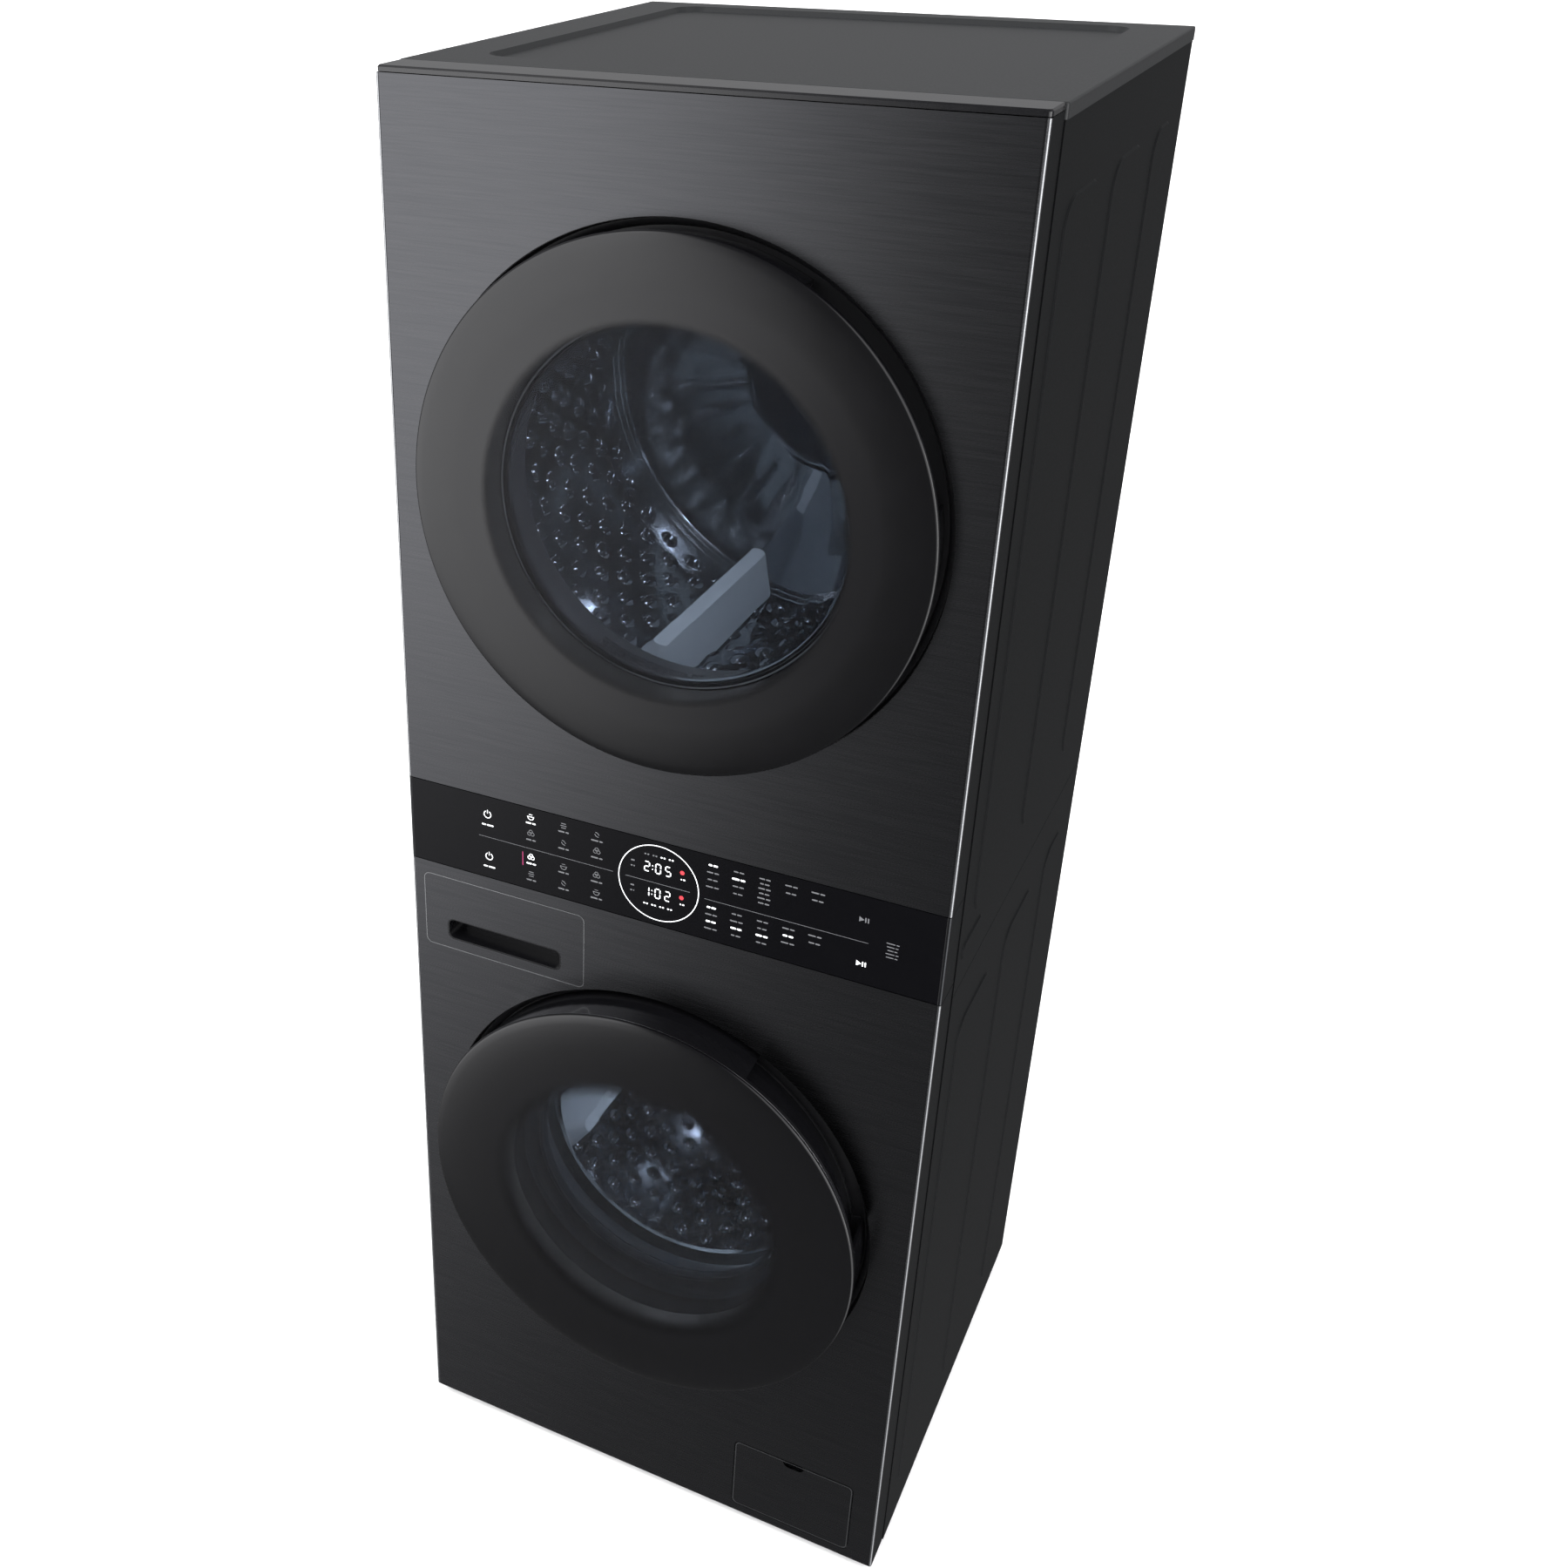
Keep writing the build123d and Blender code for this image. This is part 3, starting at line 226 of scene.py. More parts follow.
def arc(centre: Point, radius: float, first: float, last: float, points: int = 6) -> list[Point]:
    """Points of an arc in an outline.

    Args:
        centre: radius and depth of the arc's centre in millimetres.
        radius: its radius.
        first: its first angle in degrees, 0 outwards and 90 to the back.
        last: its last angle.
        points: how many steps it takes.

    Returns:
        The points, both ends included.
    """
    turns = [math.radians(first + (last - first) * step / points) for step in range(points + 1)]
    return [(centre[0] + radius * math.cos(turn), centre[1] + radius * math.sin(turn)) for turn in turns]


def lathe(name: str, outline: list[Point], height: float, closed: bool = True, steps: int = 128,
          span: Point = (0.0, 360.0), aside: float = 0.0) -> Object:
    """Spin an outline about the axis of a drum or a door.

    Args:
        name: the piece's name.
        outline: points of (radius, depth) in millimetres.
        height: height of the axis.
        closed: whether the outline closes on itself.
        steps: how many steps a spin takes.
        span: first and last angle in degrees, from +X towards +Z.
        aside: place of the axis along X.

    Returns:
        The piece.
    """
    bpy.ops.object.select_all(action="DESELECT")
    bpy.ops.mesh.primitive_plane_add(size=mm(1), location=place(outline[0][0] + aside, outline[0][1], height))
    bpy.ops.object.mode_set(mode="EDIT")
    # A lone vertex stays selected only in vertex mode, whatever mode the last piece left.
    bpy.ops.mesh.select_mode(type="VERT")
    bpy.ops.mesh.select_all(action="SELECT")
    bpy.ops.mesh.merge(type="CENTER")
    path = [*outline, outline[0]] if closed else outline
    for before, after in zip(path, path[1:]):
        step = place(after[0] - before[0], after[1] - before[1], 0)
        bpy.ops.mesh.extrude_vertices_move(TRANSFORM_OT_translate={"value": step})
    bpy.ops.mesh.select_all(action="SELECT")
    if closed:
        bpy.ops.mesh.remove_doubles(threshold=mm(0.001))
    axis = place(aside, 0, height)
    if span[0]:
        bpy.ops.transform.rotate(value=math.radians(span[0]), orient_axis="Y", center_override=axis)
    turn = math.radians(span[1] - span[0])
    bpy.ops.mesh.spin(steps=steps, angle=turn, center=axis, axis=(0, 1, 0))
    bpy.ops.mesh.select_all(action="SELECT")
    bpy.ops.mesh.remove_doubles(threshold=mm(0.01))
    if closed and turn < math.tau - 0.01:
        bpy.ops.mesh.fill_holes(sides=0)
    bpy.ops.mesh.normals_make_consistent(inside=False)
    stop()
    return named(name)


def ring_of(piece: Object, count: int, height: float) -> None:
    """Repeat a piece evenly round the axis at a height."""
    axis = place(0, 0, height)
    turn = Matrix.Translation(axis) @ Matrix.Rotation(math.tau / count, 4, "Y") @ Matrix.Translation(-axis)
    repeat_by(piece, turn, count)


def repeat_by(piece: Object, move: Matrix, count: int) -> None:
    """Repeat a piece, each copy moved from the last by the same movement."""
    guide = bpy.data.objects.new("guide", None)
    bpy.context.scene.collection.objects.link(guide)
    guide.matrix_world = move
    bpy.context.view_layer.update()
    modify(piece, "ARRAY", use_relative_offset=False, use_constant_offset=False, use_object_offset=True,
           offset_object=guide, count=count)
    bpy.data.objects.remove(guide)


def joined(name: str, pieces: list[Object]) -> Object:
    """Join pieces into one object."""
    bpy.ops.object.select_all(action="DESELECT")
    for piece in pieces:
        piece.select_set(True)
    bpy.context.view_layer.objects.active = pieces[0]
    if len(pieces) > 1:
        bpy.ops.object.join()
    whole = bpy.context.view_layer.objects.active
    whole.name = name
    whole.data.name = name
    return whole


def fit(piece: Object, body: Body, finish: bpy.types.Material, stands_for: tuple[str, ...] = (),
        crease: float = 35.0) -> Object:
    """Dress a finished piece and hang it on its body.

    Args:
        piece: the piece, at its place.
        body: the body that it rides on.
        finish: its material.
        stands_for: CAD nodes that it replaces.
        crease: angle in degrees above which an edge stays sharp.

    Returns:
        The piece.

    Raises:
        ValueError: if the piece has no faces.
    """
    if not piece.data.polygons:
        raise ValueError(f"{piece.name} has no faces")
    alone(piece)
    bpy.ops.object.shade_smooth_by_angle(angle=math.radians(crease))
    if not piece.data.materials:
        piece.data.materials.append(finish)
    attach(piece, body.value)
    if stands_for:
        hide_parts(*stands_for)
    LOG.info("%s rides on %s, %d faces", piece.name, body.value, len(piece.data.polygons))
    return piece


# ---------------------------------------------------------------- finishes
def linear(colour: str) -> tuple[float, float, float, float]:
    """An sRGB hex colour as a linear one."""
    parts = [int(colour[place_:place_ + 2], 16) / 255 for place_ in (1, 3, 5)]
    red, green, blue = (part / 12.92 if part <= 0.04045 else ((part + 0.055) / 1.055) ** 2.4
                        for part in parts)
    return red, green, blue, 1.0


def add_node(tree: bpy.types.NodeTree, kind: str, inputs: dict[str | int, Any] | None = None,
             **settings: Any) -> Node:
    """Add a node to a tree.

    Args:
        tree: the material's node tree.
        kind: the node's type.
        inputs: socket values, or the output sockets to link to them.
        settings: the node's own settings.

    Returns:
        The node.
    """
    node = tree.nodes.new(kind)
    for key, value in settings.items():
        setattr(node, key, value)
    for key, value in (inputs or {}).items():
        if isinstance(value, bpy.types.NodeSocket):
            tree.links.new(value, node.inputs[key])
        else:
            node.inputs[key].default_value = value
    return node


def per_mm(size: float) -> float:
    """Scale of a pattern whose features are a size in millimetres."""
    return 1000.0 / size


@dataclass(frozen=True)
class Finish:
    """A plain surface with a fine mottle, the base of every finish.

    Attributes:
        name: what the material is called.
        colour: sRGB hex of its body.
        shade: sRGB hex of its darker or worn spots.
        roughness: its mean roughness.
        spread: how far the roughness goes either way.
        grain: size of its pattern in millimetres, along X, Y and Z.
        relief: height of its pattern in millimetres.
        metallic: 1 for a metal.
        specular: specular level of the shader.
        ior: index of refraction.
        coat: weight of a clear coat.
        anisotropy: how far a brushed metal stretches its highlights.
    """

    name: str
    colour: str
    shade: str
    roughness: float
    spread: float = 0.05
    grain: Triple = (2.0, 2.0, 2.0)
    relief: float = 0.02
    metallic: float = 0.0
    specular: float = 0.5
    ior: float = 1.5
    coat: float = 0.0
    anisotropy: float = 0.0

    def material(self) -> bpy.types.Material:
        """Build the node material."""
        material = bpy.data.materials.new(self.name)
        material.use_nodes = True
        tree = material.node_tree
        shader = tree.nodes["Principled BSDF"]
        shader.inputs["Metallic"].default_value = self.metallic
        shader.inputs["Specular IOR Level"].default_value = self.specular
        shader.inputs["IOR"].default_value = self.ior
        shader.inputs["Coat Weight"].default_value = self.coat
        shader.inputs["Coat Roughness"].default_value = 0.08
        shader.inputs["Anisotropic"].default_value = self.anisotropy
        where = add_node(tree, "ShaderNodeTexCoord")
        pattern = self.pattern(tree, where.outputs["Object"])
        self.dress(tree, shader, where.outputs["Object"], pattern)
        return material

    def pattern(self, tree: bpy.types.NodeTree, where: bpy.types.NodeSocket) -> bpy.types.NodeSocket:
        """Pattern of the surface, from 0 to 1."""
        scale = [per_mm(size) for size in self.grain]
        stretched = add_node(tree, "ShaderNodeMapping", {"Vector": where, "Scale": scale})
        noise = add_node(tree, "ShaderNodeTexNoise", {"Vector": stretched.outputs[0], "Scale": 1.0,
                                                      "Detail": 3.0})
        return noise.outputs["Fac"]

    def dress(self, tree: bpy.types.NodeTree, shader: Node, where: bpy.types.NodeSocket,
              pattern: bpy.types.NodeSocket) -> None:
        """Drive colour, roughness and relief from the pattern."""
        tone = add_node(tree, "ShaderNodeMix", {"Factor": pattern, "A": linear(self.shade),
                                                "B": linear(self.colour)}, data_type="RGBA")
        tree.links.new(tone.outputs["Result"], shader.inputs["Base Color"])
        rough = add_node(tree, "ShaderNodeMapRange", {"Value": pattern,
                                                      "To Min": self.roughness - self.spread,
                                                      "To Max": self.roughness + self.spread})
        tree.links.new(rough.outputs[0], shader.inputs["Roughness"])
        bump = add_node(tree, "ShaderNodeBump", {"Height": pattern, "Distance": mm(self.relief),
                                                 "Strength": 0.6})
        tree.links.new(bump.outputs[0], shader.inputs["Normal"])


@dataclass(frozen=True)
class BrushedSteel(Finish):
    """Black stainless brushed along X: its lines run across and its highlight spreads up and down."""

    def dress(self, tree: bpy.types.NodeTree, shader: Node, where: bpy.types.NodeSocket,
              pattern: bpy.types.NodeSocket) -> None:
        """Add the brushing direction to the common dressing."""
        Finish.dress(self, tree, shader, where, pattern)
        spread_along = add_node(tree, "ShaderNodeCombineXYZ", {"Z": 1.0})
        tree.links.new(spread_along.outputs[0], shader.inputs["Tangent"])


@dataclass(frozen=True)
class Spangled(Finish):
    """Hot-dip galvanised sheet: crystals some millimetres wide, each a little brighter or duller."""

    def pattern(self, tree: bpy.types.NodeTree, where: bpy.types.NodeSocket) -> bpy.types.NodeSocket:
        """Crystals of zinc."""
        cells = add_node(tree, "ShaderNodeTexVoronoi", {"Vector": where, "Scale": per_mm(self.grain[0])})
        grey = add_node(tree, "ShaderNodeSeparateColor", {"Color": cells.outputs["Color"]})
        return grey.outputs[0]


@dataclass(frozen=True)
class Glass(Finish):
    """Clear or smoked glass with a faint waviness.

    Attributes:
        mirror: sRGB hex that tints its reflection; dark for a glass with an anti-glare film.
    """

    mirror: str = "#ffffff"

    def dress(self, tree: bpy.types.NodeTree, shader: Node, where: bpy.types.NodeSocket,
              pattern: bpy.types.NodeSocket) -> None:
        """Let light through, with only a trace of relief."""
        shader.inputs["Transmission Weight"].default_value = 1.0
        shader.inputs["Specular Tint"].default_value = linear(self.mirror)
        shader.inputs["Base Color"].default_value = linear(self.colour)
        rough = add_node(tree, "ShaderNodeMapRange", {"Value": pattern, "To Min": self.roughness,
                                                      "To Max": self.roughness + self.spread})
        tree.links.new(rough.outputs[0], shader.inputs["Roughness"])
        bump = add_node(tree, "ShaderNodeBump", {"Height": pattern, "Distance": mm(self.relief),
                                                 "Strength": 0.2})
        tree.links.new(bump.outputs[0], shader.inputs["Normal"])


@dataclass(frozen=True)
class FadedPane(Glass):
    """Smoked glass whose black print fades out, dot by dot, towards the window.

    Attributes:
        height: height of the pane's axis in millimetres.
        clear: radius inside which no print is left.
        printed: radius outside which the print is whole.
    """

    height: float = 0.0
    clear: float = 0.0
    printed: float = 0.0

    def dress(self, tree: bpy.types.NodeTree, shader: Node, where: bpy.types.NodeSocket,
              pattern: bpy.types.NodeSocket) -> None:
        """Mix the glass with the print by the distance from the pane's axis."""
        Glass.dress(self, tree, shader, where, pattern)
        centred = add_node(tree, "ShaderNodeVectorMath", {0: where, 1: place(0, 0, self.height)},
                           operation="SUBTRACT")
        flat = add_node(tree, "ShaderNodeVectorMath", {0: centred.outputs[0], 1: (1, 0, 1)},
                        operation="MULTIPLY")
        reach = add_node(tree, "ShaderNodeVectorMath", {0: flat.outputs[0]}, operation="LENGTH")
        fade = add_node(tree, "ShaderNodeMapRange", {"Value": reach.outputs["Value"],
                                                     "From Min": mm(self.clear),
                                                     "From Max": mm(self.printed)},
                        interpolation_type="SMOOTHSTEP")
        ink = add_node(tree, "ShaderNodeBsdfPrincipled", {"Base Color": linear(self.shade),
                                                          "Roughness": PRINT_ROUGHNESS,
                                                          "Specular IOR Level": PRINT_SPECULAR})
        both = add_node(tree, "ShaderNodeMixShader", {"Fac": fade.outputs[0], 1: shader.outputs[0],
                                                      2: ink.outputs[0]})
        tree.links.new(both.outputs[0], tree.nodes["Material Output"].inputs["Surface"])


@dataclass(frozen=True)
class LitInk(Finish):
    """Printed or lit marking on black glass."""

    glow: float = 0.0

    def dress(self, tree: bpy.types.NodeTree, shader: Node, where: bpy.types.NodeSocket,
              pattern: bpy.types.NodeSocket) -> None:
        """Add the glow of the lamp behind to the common dressing."""
        Finish.dress(self, tree, shader, where, pattern)
        shader.inputs["Emission Color"].default_value = linear(self.colour)
        shader.inputs["Emission Strength"].default_value = self.glow


class Finishes:
    """Every finish of the tower, by what the real material is, save the lit top paint and the light edge
    steel, which paint light and highlights.
    """

    def __init__(self) -> None:
        """Build the materials once."""
        # Stainless with a black coat over horizontal brushing; real lines are finer than these 1.4 mm ones.
        self.black_steel = BrushedSteel("black_brushed_stainless", "#525254", "#424345", 0.27, 0.04,
                                        (60.0, 60.0, 1.2), 0.006, 1.0, anisotropy=0.7).material()
        # Polyester powder paint on sheet steel: black, satin, with a trace of orange peel.
        self.cabinet_paint = Finish("black_powder_coat", "#0d0e0f", "#0b0c0d", 0.5, 0.05,
                                    (1.8, 1.8, 1.8), 0.02,
                                    specular=0.1).material()
        # The same paint on the top plate, a little smoother: it mirrors the bright wall behind, and its
        # colour is painted lighter than the sides' paint, as painted light from above.
        self.top_paint = Finish("black_top_coat_painted_light", "#232425", "#1f2021", 0.4, 0.04, (2.2, 2.2, 2.2), 0.01,
                                specular=0.3).material()
        # Zinc-coated sheet, dull grey with crystals.
        self.galvanised = Spangled("galvanised_sheet", "#9a9d9f", "#74777a", 0.42, 0.08,
                                   (7.0, 7.0, 7.0), 0.004,
                                   1.0).material()
        # Toughened glass with black print behind it.
        self.black_glass = Finish("black_printed_glass", "#08080a", "#060608", 0.1, 0.02, (30.0, 30.0, 30.0),
                                  0.002, specular=0.12, ior=1.5).material()
        # Ceramic ink fired on the glass: deep black with a soft mirror.
        self.door_print = Finish("black_ceramic_print", "#060608", "#050506", PRINT_ROUGHNESS, 0.03,
                                 (30.0, 30.0, 30.0), 0.0, specular=PRINT_SPECULAR).material()
        # Smoked front pane: its black print fades into clear glass round the window.
        self.upper_pane = FadedPane("smoked_dryer_door_glass", "#a3a6aa", "#060608", 0.0, 0.004,
                                    (60.0, 60.0, 60.0), 0.0, mirror="#5a5a5e", height=DRYER_AXIS,
                                    clear=173.0, printed=184.0).material()
        self.lower_pane = FadedPane("smoked_washer_door_glass", "#9b9ea3", "#060608", 0.0, 0.004,
                                    (60.0, 60.0, 60.0), 0.0, mirror="#5a5a5e", height=WASHER_AXIS,
                                    clear=146.0, printed=178.0).material()
        self.door_glass = self.upper_pane
        # Pressed borosilicate bowl.
        self.clear_glass = Glass("pressed_glass_bowl", "#dfe6ea", "#dfe6ea", 0.0, 0.01,
                                 (38.0, 38.0, 38.0), 0.1,
                                 ior=1.48, mirror="#5a5c60").material()
        # Moulded ABS, black, finely grained.
        self.dark_plastic = Finish("black_moulded_abs", "#1c1c1e", "#161618", 0.42, 0.06,
                                   (0.9, 0.9, 0.9), 0.02,
                                   specular=0.4, ior=1.53).material()
        # The same plastic with a polished mould: black, and it mirrors the room.
        self.gloss_plastic = Finish("black_gloss_abs", "#0f0f11", "#0b0b0d", 0.14, 0.03,
                                    (14.0, 14.0, 14.0), 0.004,
                                    specular=0.5, ior=1.53).material()
        # Polypropylene of the tub and the tray: milky grey, soft sheen.
        self.light_plastic = Finish("grey_polypropylene", "#8d9194", "#7e8285", 0.46, 0.05,
                                    (1.5, 1.5, 1.5), 0.02,
                                    ior=1.49).material()
        # Ferritic stainless, bright rolled.
        self.drum_steel = Finish("bright_rolled_stainless", "#adb0b5", "#9da1a6", 0.08, 0.02,
                                 (9.0, 60.0, 9.0), 0.03,
                                 1.0).material()
        # EPDM, grey, matt with talc bloom.
        self.grey_rubber = Finish("grey_epdm", "#5b6067", "#4c5157", 0.55, 0.08, (2.5, 2.5, 2.5), 0.03,
                                  ior=1.52).material()
        # Cast concrete with fine aggregate.
        self.concrete = Finish("cast_concrete", "#8f8c86", "#6f6c67", 0.85, 0.08,
                               (3.0, 3.0, 3.0), 0.25).material()
        # Die-cast aluminium, as cast.
        self.cast_aluminium = Finish("die_cast_aluminium", "#a9acae", "#8e9193", 0.45, 0.1,
                                     (1.2, 1.2, 1.2), 0.04,
                                     1.0).material()
        # Zinc-plated steel of brackets, shafts and screws.
        self.plain_steel = Finish("zinc_plated_steel", "#84888c", "#6b6f73", 0.33, 0.08,
                                  (1.5, 1.5, 8.0), 0.01,
                                  1.0).material()
        # Edge of the coated steel, turned over and left black.
        self.dark_edge = BrushedSteel("dark_panel_edge", "#4a4b4d", "#3a3b3d", 0.32, 0.05,
                                      (8.0, 8.0, 1.2), 0.006,
                                      1.0, anisotropy=0.4).material()
        # Light steel for thin lines on edges and rims: its light colour is a painted highlight where the real
        # black-coated edges catch the lights.
        self.cut_edge = BrushedSteel("diamond_cut_edge", "#a5a6a8", "#858688", 0.3, 0.05,
                                     (8.0, 8.0, 1.2), 0.006,
                                     1.0, anisotropy=0.4).material()
        # Legends: lamps behind the glass for those that are lit, grey ink for the rest.
        self.white_ink = LitInk("white_lit_legend", "#f2f4f6", "#dfe3e6", 0.5, 0.02, (0.4, 0.4, 0.4), 0.0,
                                glow=0.75).material()
        self.dim_ink = LitInk("unlit_grey_legend", "#6c6d70", "#58595c", 0.5, 0.02, (0.4, 0.4, 0.4), 0.0,
                              glow=0.0).material()
        self.red_ink = LitInk("red_lit_legend", "#c8303a", "#a8242e", 0.5, 0.02, (0.4, 0.4, 0.4), 0.0,
                              glow=0.6).material()
        self.pink_ink = LitInk("pink_lit_legend", "#b0306a", "#8c2452", 0.5, 0.02, (0.4, 0.4, 0.4), 0.0,
                               glow=0.4).material()

    def dress_nodes(self) -> None:
        """Give every shown CAD node the finish of its slot, or its own."""
        # The top plate takes the lit copy of the black paint: painted light from above.
        own = {"top_front_trim": self.gloss_plastic, "washer_door_ring": self.gloss_plastic,
               "dryer_door_ring": self.gloss_plastic, "top_plate": self.top_paint}
        for name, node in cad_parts.items():
            slot = node.data.materials[0].name.split(".")[0]
            finish = own.get(name, getattr(self, slot))
            for index in range(len(node.data.materials)):
                node.data.materials[index] = finish


# ---------------------------------------------------------------- doors
@dataclass
class Door:
    """One round glass door: smoked pane, a bright rim line and a bright window ring that are painted
    highlights, and a pressed bowl round a CAD ring.

    Attributes:
        prefix: washer or dryer.
        body: the body that it rides on.
        height: height of its axis in millimetres.
        front: place of the pane's face along Y.
        rim: radius of the pane.
        print_edge: radius where the print behind the pane starts.
        flange: place of the bowl's flange along Y.
        bowl: outline of the bowl's outside from its flange to its middle.
    """

    prefix: str
    body: Body
    height: float
    front: float
    rim: float
    print_edge: float
    flange: float
    bowl: list[Point] = field(default_factory=list)
    thickness: float = 4.4
    wall: float = 4.0

    def pane(self, finishes: "Finishes", glass: bpy.types.Material) -> Object:
        """Front pane: flat in the middle, rolled back at its edge, printed black outside the window."""
        front, rim, back = self.front, self.rim, self.front + self.thickness
        roll = arc((rim - 3.4, front + 5.6), 3.4, -80, 20, 7)
        outline = [(0, front), (self.print_edge, front), (rim - 40, front + 0.1),
                   (rim - 22, front + 0.7), (rim - 11, front + 1.4), *roll, (rim - 1.2, front + 7),
                   (rim - 5, front + 7), (rim - 42, back), (self.print_edge, back), (0, back)]
        piece = lathe(f"{self.prefix}_door_pane", outline, self.height, steps=160)
        piece.data.materials.append(glass)
        piece.data.materials.append(finishes.door_print)
        axis = place(0, 0, self.height)
        for face in piece.data.polygons:
            out = face.center - axis
            face.material_index = int(math.hypot(out.x, out.z) > mm(self.print_edge))
        return fit(piece, self.body, glass, (f"{self.prefix}_door_glass",), 30)

    def trim(self, finishes: "Finishes") -> Object:
        """Thin ring between the pane and the ring, in light steel: a painted highlight of the pane's rolled
        edge.
        """
        radius, back = self.rim - 1.9, self.front + 7.1
        outline = [(radius - 1.4, back), *arc((radius + 0.3, back + 0.8), 0.8, -90, 90, 5),
                   (radius - 1.2, back + 1.6)]
        piece = lathe(f"{self.prefix}_door_rim_highlight", outline, self.height, steps=160)
        return fit(piece, self.body, finishes.cut_edge)

    def glass_bowl(self, finishes: "Finishes") -> Object:
        """Pressed glass bowl that reaches into the drum, with a rounded bead round its flange."""
        seat = self.flange + self.wall
        outer = [(189.0, seat), (175.0, seat), *self.bowl]
        inner = [(max(radius - self.wall, 0.0), depth - self.wall) for radius, depth in reversed(self.bowl)]
        bead = arc((self.bowl[0][0] + 2.5, self.flange + 0.2), 2.0, -180, 0, 5)
        outline = [*outer, *inner, *bead, (189.0, self.flange)]
        piece = lathe(f"{self.prefix}_door_glass_bowl", outline, self.height, steps=160)
        return fit(piece, self.body, finishes.clear_glass,
                   (f"{self.prefix}_door_bowl",), 50)

    def window_rim(self, finishes: "Finishes") -> Object:
        """Thin ring that frames the bowl's mouth, in light steel: a painted highlight of the bowl's bead."""
        radius, depth = self.bowl[0][0] + 1.5, self.flange - 1.2
        outline = arc((radius, depth), 0.9, 0, 360, 8)[:-1]
        piece = lathe(f"{self.prefix}_window_rim", outline, self.height, steps=160)
        return fit(piece, self.body, finishes.cut_edge)

    def build(self, finishes: "Finishes", glass: bpy.types.Material) -> None:
        """Build every piece of the door."""
        self.pane(finishes, glass)
        self.trim(finishes)
        self.window_rim(finishes)
        self.glass_bowl(finishes)


# ---------------------------------------------------------------- seal
@dataclass
class Gasket:
    """Rubber bellows between the washer's dish and its tub."""

    height: float
    mouth: float = 186.0
    lip: float = 154.0

    def build(self, finishes: "Finishes") -> Object:
        """Spin the bellows: a clamp bead, two folds and the lip that meets the bowl."""
        outline = [(self.mouth + 1.4, -262.6), *arc((self.mouth - 0.6, -261.6), 1.2, -90, -180, 3),
                   (self.mouth - 1.8, -246), *arc((179, -245.5), 4.5, 0, 90, 4), (172, -240.5),
                   *arc((168, -243), 3.0, 60, 180, 4), (163.5, -247), *arc((156.2, -250), 1.7, -20, -180, 5),
                   (self.lip + 0.3, -240), *arc((159.5, -238.5), 3.5, 170, 90, 4), (172, -235.5),
                   *arc((178, -230), 4.5, -60, 0, 4), (183, -222), (183, -206), (186, -206), (186, -217),
                   (self.mouth + 1.4, -217)]
        piece = lathe("door_gasket_bellows", outline, self.height, steps=128)
        return fit(piece, Body.CABINET, finishes.grey_rubber, ("door_gasket",), 50)


